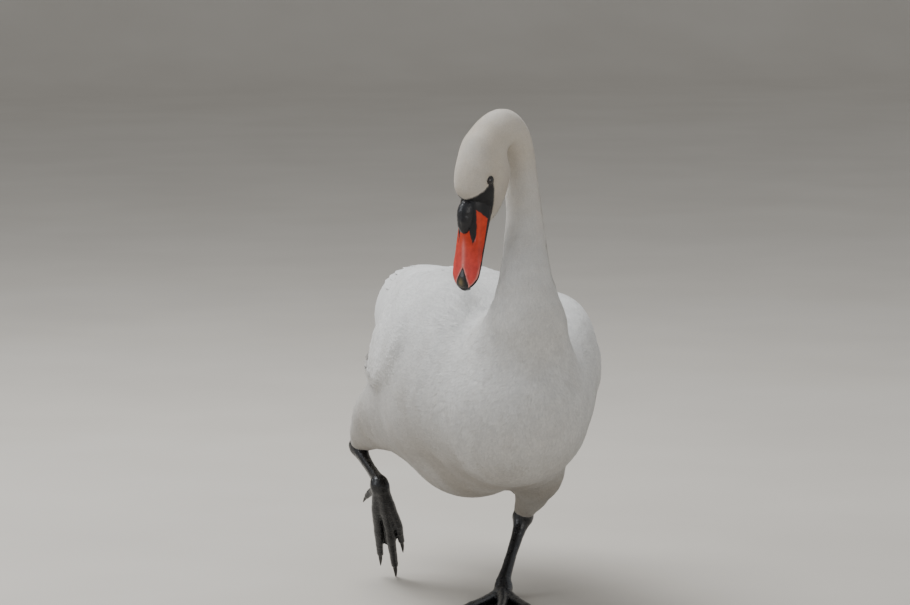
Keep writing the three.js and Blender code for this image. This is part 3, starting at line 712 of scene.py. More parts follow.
def marched(root, grid, length, shares, depths, turn):
    """Centre lines (n, stations, 3), their normals and ways, marched from roots along the lie."""
    p, normal = settle(grid, root, depths[:, 0], 1)
    stations = []
    for j in range(len(shares)):
        way = lie_at(p, normal)
        way = way * np.cos(turn)[:, None] + np.cross(normal, way) * np.sin(turn)[:, None]
        stations.append((p, normal, way))
        if j + 1 < len(shares):
            p = p + way * (length * (shares[j + 1] - shares[j]))[:, None]
            p, normal = settle(grid, p, depths[:, j + 1], 1)
    return (np.stack(rows, 1) for rows in zip(*stations))


def around_axis(p, line, start_side):
    """An unwrap of a limb or a body about its own axis: the share along it and the angle round it."""
    way = ways(line)
    side = np.array(start_side, float)
    frames = []
    for w in way:
        side = unit(side - (side @ w) * w)
        frames.append(side)
    frames = np.array(frames)
    nearest = np.argmin(((p[:, None, :] - line[None]) ** 2).sum(-1), 1)
    d = p - line[nearest]
    run = along(line)[nearest] + np.sum(d * way[nearest], 1)
    s = np.sum(d * frames[nearest], 1)
    u = np.sum(d * np.cross(way[nearest], frames[nearest]), 1)
    low, high = run.min(), run.max()
    return np.stack([0.02 + 0.96 * (run - low) / max(high - low, 1e-6),
                     0.02 + 0.96 * (np.arctan2(u, s) / TURN + 0.5)], 1)


PATCH = 0.003
MOST_TRIANGLES = 190000


def tufts(name, material, verts, faces, tint, unwrap, local, **more):
    """A piece of equal tufts: verts (n, each, 3), one tuft's faces, and its corners' places on its patch."""
    starts = (np.arange(len(verts)) * verts.shape[1])[:, None, None]
    net = verts.reshape(-1, 3), (faces[None] + starts).reshape(-1, faces.shape[1])
    corners = unwrap[:, None] + (local - 0.5) * PATCH
    uv = corners[:, faces.ravel()].reshape(-1, 2)
    piece(name, net, material, tint.reshape(-1, 3), "plumage", uv=uv, **more)


def locks(name, material, centre, normal, way, width, tint, unwrap, roll, pinch=0.16):
    """Narrow pointed locks along centre lines (n, stations, 3), in pieces of few enough triangles."""
    n, stations = centre.shape[:2]
    side = np.cross(normal, way)
    side = unit(side * np.cos(roll)[:, None, None] + normal * np.sin(roll)[:, None, None])
    profile = np.array([0.7] + [1.0] * (stations - 3) + [0.72, pinch])
    half = (width[:, None] * profile / 2)[..., None]
    rails = np.stack([(centre + side * half)[:, :-1], (centre - side * half)[:, :-1]], 2).reshape(n, -1, 3)
    verts = np.concatenate([rails, centre[:, -1:]], 1)
    starts = range(0, 2 * (stations - 2), 2)
    strip = [tri for a in starts for tri in ([a, a + 1, a + 3], [a, a + 3, a + 2])]
    a = 2 * (stations - 2)
    strip = np.array(strip + [[a, a + 1, a + 2]])
    level = np.linspace(0, 1, stations)
    local = np.array([(u, v) for v in level[:-1] for u in (0.0, 1.0)] + [(0.5, 1.0)])
    # Painted shade: each lock a little darker at its root, under the locks that overlap it.
    light = np.concatenate([np.repeat(np.linspace(0.97, 1.0, stations)[:-1], 2), [1.0]])
    soft = np.concatenate([np.repeat(normal[:, :-1], 2, axis=1), normal[:, -1:]], 1)
    count = math.ceil(n / (MOST_TRIANGLES // len(strip)))
    order = np.array_split(np.argsort(unwrap[:, 0], kind="stable"), count)
    for k, pick in enumerate(order):
        label = name if count == 1 else f"{name}_{k + 1}"
        colour = tint[pick][:, None] * light[:, None]
        tufts(label, material, verts[pick], strip, colour, unwrap[pick], local,
              normals=soft[pick].reshape(-1, 3))


# ============================== the wings' surface ==============================
wing_field = blend(
    30,
    lambda p: torso_field(p) - 7,
    body_egg(40, 196, TRUNK_HEIGHT + 50, 50, 120, 165, 60, 44),
    body_egg(-40, 196, TRUNK_HEIGHT + 50, 50, 120, 165, 60, 44))
wing_grid = Grid(wing_field, (-175, -130, 150), (180, 460, 450), 5.0)
# Places along the trunk and heights: a folded wing's outline, and the edges its feathers are laid between.
WING_OUTLINE = np.array([
    [-66, 306], [-52, 350], [-8, 378], [56, 392], [112, 414], [190, 440], [290, 410],
    [362, 342], [352, 318], [296, 300], [214, 272], [120, 246], [30, 236], [-36, 256]], float)
LOWER_EDGE = np.array([[-70, 300], [-55, 272], *WING_OUTLINE[:7:-1], [400, 322]], float)
UPPER_EDGE = np.array([[-70, 302], [-60, 332], *WING_OUTLINE[1:4], [90, 404], [112, 450], [400, 480]], float)
AXIS_HEIGHT = 292


def ray_point(sign, y, angle, grid=wing_grid):
    """The outermost point of the grid's surface at y, at an angle over the side round the trunk's axis."""
    y, angle = np.broadcast_arrays(np.asarray(y, float), np.asarray(angle, float))
    reach = np.linspace(12, 178, 84)
    way = np.cos(angle)[..., None] * sign * BODY_SIDE + np.sin(angle)[..., None] * BODY_UP
    base = in_body(np.zeros_like(y), y, np.full_like(y, AXIS_HEIGHT))
    values = grid.at(base[..., None, :] + way[..., None, :] * reach[:, None])
    inside = values < 0
    last = np.where(inside.any(-1), len(reach) - 1 - np.argmax(inside[..., ::-1], -1), 0)
    last = np.minimum(last, len(reach) - 2)
    va, vb = (np.take_along_axis(values, (last + step)[..., None], -1)[..., 0] for step in (0, 1))
    t = np.where((va < 0) & (vb > 0), va / np.where(va == vb, 1, va - vb), 0)
    return base + way * (reach[last] + t * (reach[1] - reach[0]))[..., None]


def edge_angles(sign):
    """The angles of the folded wing's lower and upper edge along the trunk."""
    ys = np.linspace(-64, 356, 43)
    angles = np.radians(np.linspace(-42, 89, 90))
    low, high = [], []
    for y in ys:
        height = of_body(ray_point(sign, y, angles))[2]
        low.append(np.interp(np.interp(y, *LOWER_EDGE.T), np.maximum.accumulate(height), angles))
        over = height >= np.interp(y, *UPPER_EDGE.T)
        high.append(angles[np.argmax(over)] if over.any() else angles[-1])
    return ys, np.array(low), np.maximum(np.array(high), np.array(low) + 0.04)


def inside_wing(p):
    """How far a place on the trunk lies inside the outline of a folded wing, in millimetres."""
    _, y, height = of_body(p)
    q = np.stack([y, height], -1)[..., None, :]
    a, b = WING_OUTLINE, np.roll(WING_OUTLINE, -1, 0)
    e = b - a
    t = np.clip(((q - a) * e).sum(-1) / (e * e).sum(-1), 0, 1)
    near = np.sqrt(((q - a - t[..., None] * e) ** 2).sum(-1)).min(-1)
    y, height = q[..., 0], q[..., 1]
    crossing = ((a[:, 1] <= height) != (b[:, 1] <= height)) & (
        y < a[:, 0] + (height - a[:, 1]) / np.where(e[:, 1] == 0, 1e-9, e[:, 1]) * e[:, 0])
    return np.where(crossing.sum(-1) % 2 == 1, near, -near)


def wing_front(y, height):
    """1 where the body's feathers run smoothly over a wing's front and upper edge, 0 at its lower edge."""
    return np.maximum(1 - ramp(y, -30, 60), ramp(height, 318, 350) * (1 - ramp(y, 110, 160)))


def cover_field(p):
    """The surface of the feathers: the trunk's, risen on to the folded wings."""
    _, y, height = of_body(p)
    front = wing_front(y, height)
    share = ramp(inside_wing(p) - 2 * (1 - front), 0, 6 + 16 * front)
    return flesh_grid.at(p) * (1 - share) + wing_grid.at(p) * share


cover_grid = Grid(cover_field, (-165, -300, 130), (170, 400, 470), 4.0)
body_surface = Nested(cover_grid, flesh_grid, cover_grid.low + 9,
                      cover_grid.low + cover_grid.cell * (cover_grid.n - 1) - 9)
EDGES = {name: edge_angles(sign) for name, sign in SIDES.items()}


def wing_point(name, y, q):
    """A place on a folded wing: y along the trunk, q from 0 at its lower edge to 1 at its upper one."""
    ys, low, high = EDGES[name]
    a = np.interp(y, ys, low)
    b = np.interp(y, ys, high)
    return ray_point(SIDES[name], y, a + (b - a) * q, cover_grid)


# ============================== the coat of the head and neck ==============================
plush = plumage_material("plush_of_the_head", 620, 0.78, 0.36)
contour = plumage_material("contour_feathers", 380, 0.8, 0.34)
EYEBALL = 6.8
LID_RING = 4.0
OPENING = (4.5, 3.15)


def eye_frame(sign):
    """An eye's place, and its own axes: outwards, along its slit towards the bill, and up."""
    rim, rim_normal = settle(fine_grid, in_head(sign * 26, 1.2, 2.6)[None], 0.0, 4)
    out = unit(rim_normal[0] * 0.6 + sign * HEAD_SIDE * 0.4)
    at = rim[0] - out * (math.sqrt(EYEBALL**2 - LID_RING**2) + 0.25)
    slant = HEAD_ALONG - 0.30 * HEAD_UP
    slit = unit(slant - (slant @ out) * out)
    return at, out, slit, np.cross(out, slit)


EYES = {name: eye_frame(sign) for name, sign in SIDES.items()}


def eye_clear(p):
    """How far a place lies outside the lids of the nearer eye."""
    best = np.full(p.shape[:-1], 99.0)
    for at, out, slit, across in EYES.values():
        d = p - at
        reach = np.sqrt((d @ slit / 5.7) ** 2 + (d @ across / 4.5) ** 2)
        best = np.where(d @ out > -4, np.minimum(best, (reach - 1) * 5.0), best)
    return best


def face_clear(p):
    """How far a place lies from the bare skin, the mouth and the lids."""
    s, f, u = of_head(p)
    mouth = np.where((f > 29) & (np.abs(s) < 15) & (u > -20), -1.0, 9.0)
    return np.where(on_head(p), np.minimum(-lore_edge(p) - 0.15, np.minimum(mouth, eye_clear(p))), 9.0)


# Places in the run along the body: where the plush ends, where the contour feathers start, and where the
# locks count as the neck's.
PLUSH_END = 372
CONTOUR_START = 345
HEAD_RUN = 88


def head_keep(p):
    """Positive where the head's and neck's plush grows."""
    return np.minimum(face_clear(p), (PLUSH_END - run_at(p)) / 3)


# By the run along the head and neck: how far apart the locks grow, how long they are and how wide.
PLUSH_RUN = [0, 60, 120, 200, 330, 430]
PLUSH_SPACING = [0.85, 0.94, 1.1, 1.3, 1.5, 1.75]
PLUSH_LENGTH = [4.2, 5.2, 7.5, 10.0, 13, 17]
PLUSH_WIDTH = [1.25, 1.4, 1.85, 2.4, 3.0, 3.5]
PLUSH_AXIS = SPINE[:46:2]


def plush_spacing(p):
    return np.interp(run_at(p), PLUSH_RUN, PLUSH_SPACING) * (0.55 + 0.45 * ramp(face_clear(p), 0.5, 5))


def plush_coat():
    root = scattered(skin_verts, skin_tris, plush_spacing, head_keep, 31)
    source = np.random.default_rng(32)
    guide = guide_grid.at(root)
    run, depth = guide[:, 4], guide[:, 3]
    n = len(root)
    away = face_clear(root)
    length = np.interp(run, PLUSH_RUN, PLUSH_LENGTH) * source.uniform(0.8, 1.2, n)
    length *= (0.32 + 0.68 * ramp(eye_clear(root), 0, 8)) * (0.6 + 0.4 * ramp(away, 0, 6))
    width = np.interp(run, PLUSH_RUN, PLUSH_WIDTH) * source.uniform(0.8, 1.25, n)
    width *= 0.5 + 0.5 * ramp(away, 0.5, 5)
    shares = np.array([0, 0.3, 0.65, 1.0])
    stand = source.uniform(-0.04, 0.05, n)
    depths = depth[:, None] * np.array([1.05, 0.45, 0.14, 0.02]) - stand[:, None] * np.array([0, 0, 0.4, 1.0])
    centre, normal, way = marched(root, head_surface, length, shares, depths, source.normal(0, 0.08, n))
    tint = coat_tint(root) * source.uniform(0.965, 1.025, (n, 1))
    unwrap = around_axis(root, PLUSH_AXIS, (1, 0, 0))
    roll = source.normal(0, 0.05, n)
    for label, pick in (("coat_head", run < HEAD_RUN), ("coat_neck", run >= HEAD_RUN)):
        locks(label, plush, *(row[pick] for row in (centre, normal, way, width, tint, unwrap, roll)))


# ============================== the contour feathers of the body ==============================
BARE_LEG = 12  # the coat stops this far from a leg's last station
BODY_REAR = 302


def leg_end(p):
    """How far a place lies from the nearer end of the feathers on a leg."""
    return np.minimum(*(length_of(p - np.array(THIGHS[name][-1][:3])) for name in SIDES))


def body_keep(p):
    """Positive where the body's contour feathers grow."""
    _, y, height = of_body(p)
    off_wing = 5 + 31 * wing_front(y, height) - inside_wing(p)
    ends = np.minimum((leg_end(p) - BARE_LEG) / 2, (BODY_REAR - y) / 3)
    return np.minimum(np.minimum((run_at(p) - CONTOUR_START) / 3, off_wing), ends)


def feather_size(p):
    """The length of the contour feathers by place: smaller on the legs and upper breast, longer behind."""
    size = np.interp(run_at(p), [340, 390, 450, 560, 700, 900], [15, 19, 25, 30, 36, 46])
    leg = np.minimum(*(np.min([length_of(p - q) - r for q, r in zip(*LEG_LINES[name])], 0) for name in SIDES))
    size = np.where(leg < 4, np.minimum(size, 24), size)
    return np.minimum(size, np.interp(leg_end(p), [0, 25, 90], [8, 13, 30]))


STRIPS = 7
CONTOUR_SHARES = np.array([0, 0.28, 0.55, 0.8, 1.0])
# How far a fan's outer strips lie out and down along its length.
FAN_SPREAD = np.array([0.25, 0.62, 0.9, 1.0, 0.94])
FAN_DROOP = np.array([0, 0.4, 0.8, 1, 1])


def fanned(centre, normal, way, half, source):
    """Each contour feather's strips, side by side over its width: their centre lines, normals and ways."""
    n, stations = centre.shape[:2]
    side = np.cross(normal, way)
    row = np.arange(n)[:, None]
    fans = []
    for x in np.linspace(-1, 1, STRIPS):
        x = x + source.normal(0, 0.07, n)
        reach = 1 - 0.34 * np.abs(x) ** 1.8 - source.uniform(0, 0.10, n)
        t = np.interp(CONTOUR_SHARES * reach[:, None], CONTOUR_SHARES, np.arange(stations))
        i = np.minimum(t.astype(int), stations - 2)
        f = (t - i)[..., None]
        line = centre[row, i] * (1 - f) + centre[row, i + 1] * f
        line = line + side * (x * half)[:, None, None] * FAN_SPREAD[:, None]
        line = line - normal * (0.35 * x**2)[:, None, None] * FAN_DROOP[:, None]
        fans.append((line, unit(normal + side * (0.14 * x)[:, None, None]), way))
    return (np.stack(rows, 1).reshape(STRIPS * n, stations, 3) for rows in zip(*fans))


def body_coat():
    """The contour feathers, each a fan of narrow strips."""
    under = flesh_grid.changed(lambda p, v: body_surface.at(p) + 6)
    root = scattered(*nets(under), lambda p: feather_size(p) * 0.21, body_keep, 41)
    source = np.random.default_rng(42)
    n = len(root)
    size = feather_size(root)
    length = size * source.uniform(0.9, 1.12, n)
    lift = source.uniform(-0.2, 0.2, n)
    depths = guide_grid.at(root)[:, 3][:, None] * np.array([1.1, 0.5, 0.2, 0.07, 0.02])
    depths = depths - lift[:, None] * np.array([0, 0.1, 0.4, 0.8, 1.0])
    turn = source.normal(0, 0.07, n)
    centre, normal, way = marched(root, body_surface, length, CONTOUR_SHARES, depths, turn)
    line, normal, way = fanned(centre, normal, way, size * 0.30, source)
    line, _ = settle(body_surface, line, np.repeat(depths, STRIPS, 0), 1, most=6, share=0.85)
    root = np.repeat(root, STRIPS, 0)
    tone = np.repeat(source.uniform(0.965, 1.025, n), STRIPS) * source.uniform(0.94, 1.05, STRIPS * n)
    tint = coat_tint(root) * tone[:, None]
    width = np.repeat(size * 0.60 / STRIPS * 2.0, STRIPS) * source.uniform(0.85, 1.2, STRIPS * n)
    unwrap = around_axis(root, in_body(np.zeros(24), np.linspace(-230, 400, 24), np.full(24, 285)), BODY_SIDE)
    roll = source.normal(0, 0.07, STRIPS * n)
    locks("coat_body", contour, line, normal, way, width, tint, unwrap, roll, pinch=0.1)


plush_coat()
body_coat()


# ============================== vanes: the large feathers ==============================
def vane_material():
    n = Nodes("flight_feathers")
    lines = n.add("ShaderNodeTexNoise", {"W": n.value("barb"), "Scale": 0.9, "Detail": 3.0, "Roughness": 0.6},
                  noise_dimensions="1D")
    colour = n.toned(n.tint(), n.math("MULTIPLY", n.spread(n.noise(40, 3), 0.95, 1.03),
                                      n.spread(lines, 0.93, 1.03)))
    n.let_through(0.2, colour)
    return n.set(color=colour, rough=n.spread(n.noise(150, 2), 0.6, 0.78), bump=n.bump(lines, 0.35, 0.0004),
                 sheen=0.2, sheen_rough=0.4, spec=0.3)


vane_skin = vane_material()
VANE_SHARES = np.array([0, 0.14, 0.3, 0.46, 0.62, 0.75, 0.86, 0.94, 0.98, 1.0])
VANE_BEND = 130.0
BARB_SLANT = 1.25


def vane_profile(s, broad):
    """The half width of a feather along its length, as a share of its widest."""
    return np.minimum(1.0, 0.34 + 1.9 * s) * np.sqrt(np.maximum(1 - s**broad, 0)) + 0.02


def vanes(name, centre, normal, width, tint, unwrap, seed, press, broad, columns, twist, shares=VANE_SHARES):
    """Feathers with a shaft and a curved vane, along centre lines (n, stations, 3)."""
    source = np.random.default_rng(seed)
    n, stations = centre.shape[:2]
    way = ways(centre, 1)
    normal = unit(normal - np.sum(normal * way, -1, keepdims=True) * way)
    side = np.cross(normal, way)
    cos, sin = np.cos(twist)[:, None, None], np.sin(twist)[:, None, None]
    side, normal = side * cos + normal * sin, normal * cos - side * sin
    length = length_of(np.diff(centre, axis=1)).sum(1)[:, None, None]
    across = np.linspace(-1, 1, columns)
    out = np.abs(across)
    on_shaft = out < 0.05
    s = shares[:, None]
    ragged = 1 + 0.05 * source.normal(size=(n, stations, columns)) * (out > 0.9)
    x = across * (width[:, None] / 2 * vane_profile(shares, broad))[:, :, None] * ragged
    rise = -(x**2) / (2 * VANE_BEND) - press * across**2 + 0.22 * on_shaft * (1 - s)
    slip = -0.04 * out**2 * length * s**3
    slip = slip + 0.0025 * length * source.normal(size=(n, 1, columns)) * s**6
    verts = centre[:, :, None]
    for axis, by in ((side, x), (normal, rise), (way, slip)):
        verts = verts + axis[:, :, None] * by[..., None]
    starts = (j * columns + k for j in range(stations - 1) for k in range(columns - 1))
    quads = np.array([[a, a + 1, a + columns + 1, a + columns] for a in starts])
    local = np.stack([np.tile(np.linspace(0, 1, columns), stations), np.repeat(shares, columns)], 1)
    # Painted shade: darker towards the root, under the feathers that overlap it; a little darker along the
    # shaft.
    light = (0.88 + 0.12 * np.sqrt(s)) * (1 - 0.03 * on_shaft)
    barb = s * length - BARB_SLANT * np.abs(x) + 7.0 * np.arange(n)[:, None, None]
    tufts(name, vane_skin, verts.reshape(n, -1, 3), quads, tint[:, None, None, :] * light[..., None],
          unwrap, local, values={"barb": barb.ravel()})


# ============================== wings ==============================
WING_REAR = 338.0
REAR_STEP = 26


def wing_lines(name, y0, q0, length, drift, rise, shares=VANE_SHARES):
    """Centre lines on a folded wing, and straight on past its rear; rise is the height at root and tip."""
    y = y0[:, None] + length[:, None] * shares
    q = np.clip(q0[:, None] + drift[:, None] * shares, 0, 1)
    held = np.minimum(y, WING_REAR)
    p = wing_point(name, held, q)
    normal = unit(cover_grid.slope(p))
    rear = np.full_like(y, WING_REAR)
    step = wing_point(name, rear, q) - wing_point(name, rear - REAR_STEP, q)
    p = p + step / REAR_STEP * (y - held)[..., None]
    for i in np.nonzero((y > WING_REAR).any(1))[0]:
        first = np.argmax(y[i] > WING_REAR)
        normal[i, first:] = normal[i, max(first - 1, 0)]
    height = rise[:, :1] + (rise[:, 1:] - rise[:, :1]) * shares**0.7
    return p + normal * height[..., None], normal


def wing_unwrap(y, q):
    return np.stack([0.02 + 0.96 * (y + 70) / 480, 0.02 + 0.96 * q], 1)


def wing_base(name):
    """The wing's body under its feathers."""
    def level(p, cover):
        side, y, _ = of_body(p)
        margin = 9 + 13 * ramp(y, 180, 290)
        return np.maximum(np.maximum(cover + 5.0, margin - inside_wing(p)), 1.5 - SIDES[name] * side)
    net = nets(cover_grid.changed(level), rounds=0)
    piece(f"wing_base_{name}", net, contour, coat_tint(net[0]), "plumage", f"wing_{name}")


PRIMARIES = 6
# Secondaries and tertials: how many; the lowest's place along the trunk, share up the wing and length, each
# with its change to the next; the drift up the wing; how high the root and the lowest's tip stand; the width.
QUILLS = ((12, (78, 11), (0.03, 0.040), (166.0, 3.0), 0.0, (-3.6, -2.6), 29.0),
          (8, (178, -3.0), (0.52, 0.062), (184.0, -2.0), 0.01, (-3.0, -0.6), 36.0))


def primaries(sign):
    """The primaries over the rump: centre lines, normals, widths and places for their unwrap."""
    i = np.arange(PRIMARIES)
    s = VANE_SHARES[:, None]
    root = in_body(sign * (30 + 3 * i), 262, 323 - 2 * i)[:, None]
    tip = in_body(sign * (19 + 2.2 * i), 398 - 12 * i, 293 + 2.2 * i)[:, None]
    line = root * (1 - s) + tip * s + BODY_UP * (5 * 4 * s * (1 - s))
    normal = np.broadcast_to(unit(BODY_UP + 0.5 * sign * BODY_SIDE), line.shape)
    return line, normal, 23.0 - i, 300 - 8 * i, 0.6 + 0.03 * i


def wing_quills(name, source):
    """The long feathers, from the lowest layer up: the lower edge of each lies over the one below it."""
    sign = SIDES[name]
    rows = [primaries(sign)]
    for count, y, q, length, drift, (root_rise, tip_rise), width in QUILLS:
        i = np.arange(count)
        y0, q0, long = (first + step * i for first, step in (y, q, length))
        rise = np.stack([np.full(count, root_rise), tip_rise + 0.2 * i], 1)
        line, normal = wing_lines(name, y0, q0, long, np.full(count, drift), rise)
        rows.append((line, normal, np.full(count, width), y0, q0))
    centre, normal, width, y0, q0 = (np.concatenate(column) for column in zip(*rows))
    tint = coat_tint(centre[:, 3]) * source.uniform(0.97, 1.02, (len(centre), 1))
    twist = np.full(len(centre), -0.05 * sign)
    columns = centre, normal, width, tint, wing_unwrap(y0, q0), twist
    kinds = ("primaries", slice(None, PRIMARIES), 2.6), ("quills", slice(PRIMARIES, None), 5.0)
    for label, pick, broad in kinds:
        *places, turn = (column[pick] for column in columns)
        vanes(f"wing_{label}_{name}", *places, 60 + sign, press=0.9, broad=broad, columns=9, twist=turn)


# The coverts' first and last row along the trunk, and the wing's front.
COVERTS_FRONT, COVERTS_REAR = -62.0, 226
WING_FRONT = -60.0
HIGHEST = 0.995  # the share up the wing that no covert's root passes


def covert_roots(name, source):
    """The coverts' and scapulars' places along the trunk and up the wing, row by row, and their lengths."""
    rows = []
    y = COVERTS_FRONT
    while y < COVERTS_REAR:
        long = np.interp(y, [-62, -20, 40, 110, 180, 230], [12, 17, 26, 38, 52, 60])
        across = wing_point(name, max(y, WING_FRONT), np.linspace(0, 1, 24))
        count = max(3, int(length_of(np.diff(across, axis=0)).sum() / (0.25 * long)))
        q = (np.arange(count) + 0.5 * (len(rows) % 2) + 0.25) / count
        q = q + source.normal(0, 0.12 / count, count)
        q = q[(y < np.interp(q, [0, 0.45, 0.6, 1.0], [118, 158, 196, COVERTS_REAR])) & (q < HIGHEST)]
        rows.append((np.full(len(q), y) + source.normal(0, 0.05 * long, len(q)), q, np.full(len(q), long)))
        y += 0.22 * long
    y0, q0, long = (np.concatenate(column) for column in zip(*rows))
    return y0, np.clip(q0, 0.002, HIGHEST), long


def wing_coverts(name, source):
    """Rows from front to rear, the tips of each over the next one's roots."""
    y0, q0, long = covert_roots(name, source)
    n = len(y0)
    long = long * source.uniform(0.93, 1.1, n)
    rise = np.stack([np.full(n, -5.5), source.uniform(-0.4, 0.7, n)], 1)
    shares = np.array([0, 0.25, 0.5, 0.7, 0.84, 0.93, 0.98, 1.0])
    line, normal = wing_lines(name, y0, q0, long, source.normal(-0.004, 0.006, n), rise, shares)
    tint = coat_tint(line[:, 0]) * source.uniform(0.96, 1.025, (n, 1))
    vanes(f"wing_coverts_{name}", line, normal, long * 0.7, tint, wing_unwrap(y0, q0), 70 + SIDES[name],
          press=0.55, broad=4.0, columns=7, twist=source.normal(0, 0.03, n), shares=shares)


for side_name, side_sign in SIDES.items():
    wing_source = np.random.default_rng(50 + side_sign)
    wing_base(side_name)
    wing_quills(side_name, wing_source)
    wing_coverts(side_name, wing_source)


# ============================== tail ==============================
TAIL_ROOT = (0, 262, 306)
TAIL_DROOP = math.radians(9)
TAIL_LENGTH = 200
# Half the tail's width and thickness at shares of its length.
TAIL_HALF = np.array([[0, 44, 22], [0.2, 52, 17], [0.45, 55, 10.5], [0.7, 45, 5.5], [0.88, 26, 3],
                      [1, 7, 1.2]])
TAIL_SIDE = 11
# Coverts round the tail's root: each ring's place along the trunk, its feathers' length and number.
TAIL_COVERTS = ((236, 74, 26), (252, 72, 25), (268, 70, 24), (284, 66, 22), (300, 62, 20))


def tail_half(share):
    return (np.interp(share, TAIL_HALF[:, 0], TAIL_HALF[:, column]) for column in (1, 2))


def in_tail(side, out, up):
    x0, y0, z0 = TAIL_ROOT
    return in_body(x0 + side, y0 + out * math.cos(TAIL_DROOP) + up * math.sin(TAIL_DROOP),
                   z0 + up * math.cos(TAIL_DROOP) - out * math.sin(TAIL_DROOP))


def tail_base():
    """The root of the tail under its feathers."""
    share = np.linspace(0, 0.42, 9)[:, None]
    half, thick = tail_half(share)
    a = np.linspace(0, TURN, 25)[:-1]
    net = ring_net(in_tail(np.cos(a) * half * 0.66, share * TAIL_LENGTH, np.sin(a) * thick * 0.45))
    piece("tail_base", net, contour, coat_tint(net[0]), "plumage", "tail")


def tail_feather(i, source):
    far = abs(i) / TAIL_SIDE
    angle = math.radians(1.32 * i)
    out = VANE_SHARES * (TAIL_LENGTH * (0.985 - 0.47 * far**1.35) * source.uniform(0.985, 1.0))
    _, thick = tail_half(out / TAIL_LENGTH)
    up = (0.75 - 1.15 * far) * np.minimum(thick, 9)
    line = in_tail(2.0 * i + out * math.sin(angle), out * math.cos(angle), up)
    normal = np.repeat(unit(BODY_UP + 0.02 * i * BODY_SIDE)[None], len(out), 0)
    return line, normal, 27 - 4 * far, (0.05 + 0.9 * (i + TAIL_SIDE) / (2 * TAIL_SIDE), 0.1)


def tail_covert(ring, y0, reach, a):
    """A covert from the body's surface on to the tail, at an angle round it."""
    s = VANE_SHARES[:, None]
    root = ray_point(1, y0, a, flesh_grid)
    out = (y0 - TAIL_ROOT[1] + reach) / TAIL_LENGTH
    half, thick = tail_half(out)
    end = in_tail(math.cos(a) * half * 0.72, out * TAIL_LENGTH, math.sin(a) * thick * 1.02)
    normal = unit(flesh_grid.slope(root))
    end_normal = unit(math.cos(a) * 0.5 * BODY_SIDE + math.sin(a) * BODY_UP)
    line = root * (1 - s) + end * s + normal * ((0.10 * reach) * 4 * s * (1 - s) - 5 * (1 - s))
    return line, unit(normal * (1 - s) + end_normal * s), 30, 0.3 + 0.12 * ring


def tail():
    source = np.random.default_rng(80)
    rows = [tail_feather(i, source) for i in range(-TAIL_SIDE, TAIL_SIDE + 1)]
    for ring, (y0, reach, count) in enumerate(TAIL_COVERTS):
        for k in range(count):
            *places, v = tail_covert(ring, y0, reach, TURN * (k + 0.5 * (ring % 2)) / count)
            rows.append((*places, (0.05 + 0.9 * k / count, v)))
    centre, normal, width, spots = (np.array(column, float) for column in zip(*rows))
    tint = coat_tint(centre[:, 4]) * source.uniform(0.96, 1.02, (len(centre), 1))
    vanes("tail_feathers", centre, normal, width, tint, spots, 81, press=0.7, broad=4.0, columns=9,
          twist=np.zeros(len(centre)))


tail_base()
tail()


# ============================== bill, knob and nail ==============================
# Along the bill from its root: half its width, its height over the mouth line, and its depth under it.
BILL = np.array([
    [12, 17, 26, 15], [34, 17.2, 26.5, 14.5], [48, 17.5, 23, 13], [60, 17.8, 19.5, 11.5],
    [74, 18.4, 16.3, 10], [90, 19, 12, 8], [106, 19.3, 9.2, 6], [117, 17.4, 7.4, 4.6], [124, 12.5, 5.6, 3.4],
    [128.5, 7, 3.6, 2.2], [131, 1.8, 1.4, 0.8]])
WIDTH, HEIGHT, DEPTH = 1, 2, 3
FULLNESS = 0.8
LOWER_INSET = 1.6
MOUTH_GAP = 0.25
UPPER_COLUMNS, LOWER_COLUMNS = 97, 41
RED = np.array([0.54, 0.038, 0.008])
PINK = np.array([0.56, 0.052, 0.043])
STRIPE = np.array([0.66, 0.19, 0.17])
PALE = np.array([0.64, 0.31, 0.27])
HORN = np.array([0.0105, 0.0105, 0.0120])
OLIVE = np.array([0.17, 0.125, 0.055])
DARK_RED = np.array([0.16, 0.030, 0.018])
KNOB_BLACK = np.array([0.0100, 0.0105, 0.0130])


def mouth_up(f):
    return np.interp(f, [BILL_ROOT, BILL_TIP], [-17.5, -15.5])


def bill_size(f, column):
    """A smooth curve through the bill's given sizes, with no overshoot to speak of."""
    xs, ys = BILL[:, 0], BILL[:, column]
    slope = np.gradient(ys, xs)
    i = np.clip(np.searchsorted(xs, f) - 1, 0, len(xs) - 2)
    h = xs[i + 1] - xs[i]
    t = (f - xs[i]) / h
    return ((1 + 2 * t) * (1 - t)**2 * ys[i] + t * (1 - t)**2 * h * slope[i]
            + t * t * (3 - 2 * t) * ys[i + 1] + t * t * (t - 1) * h * slope[i + 1])


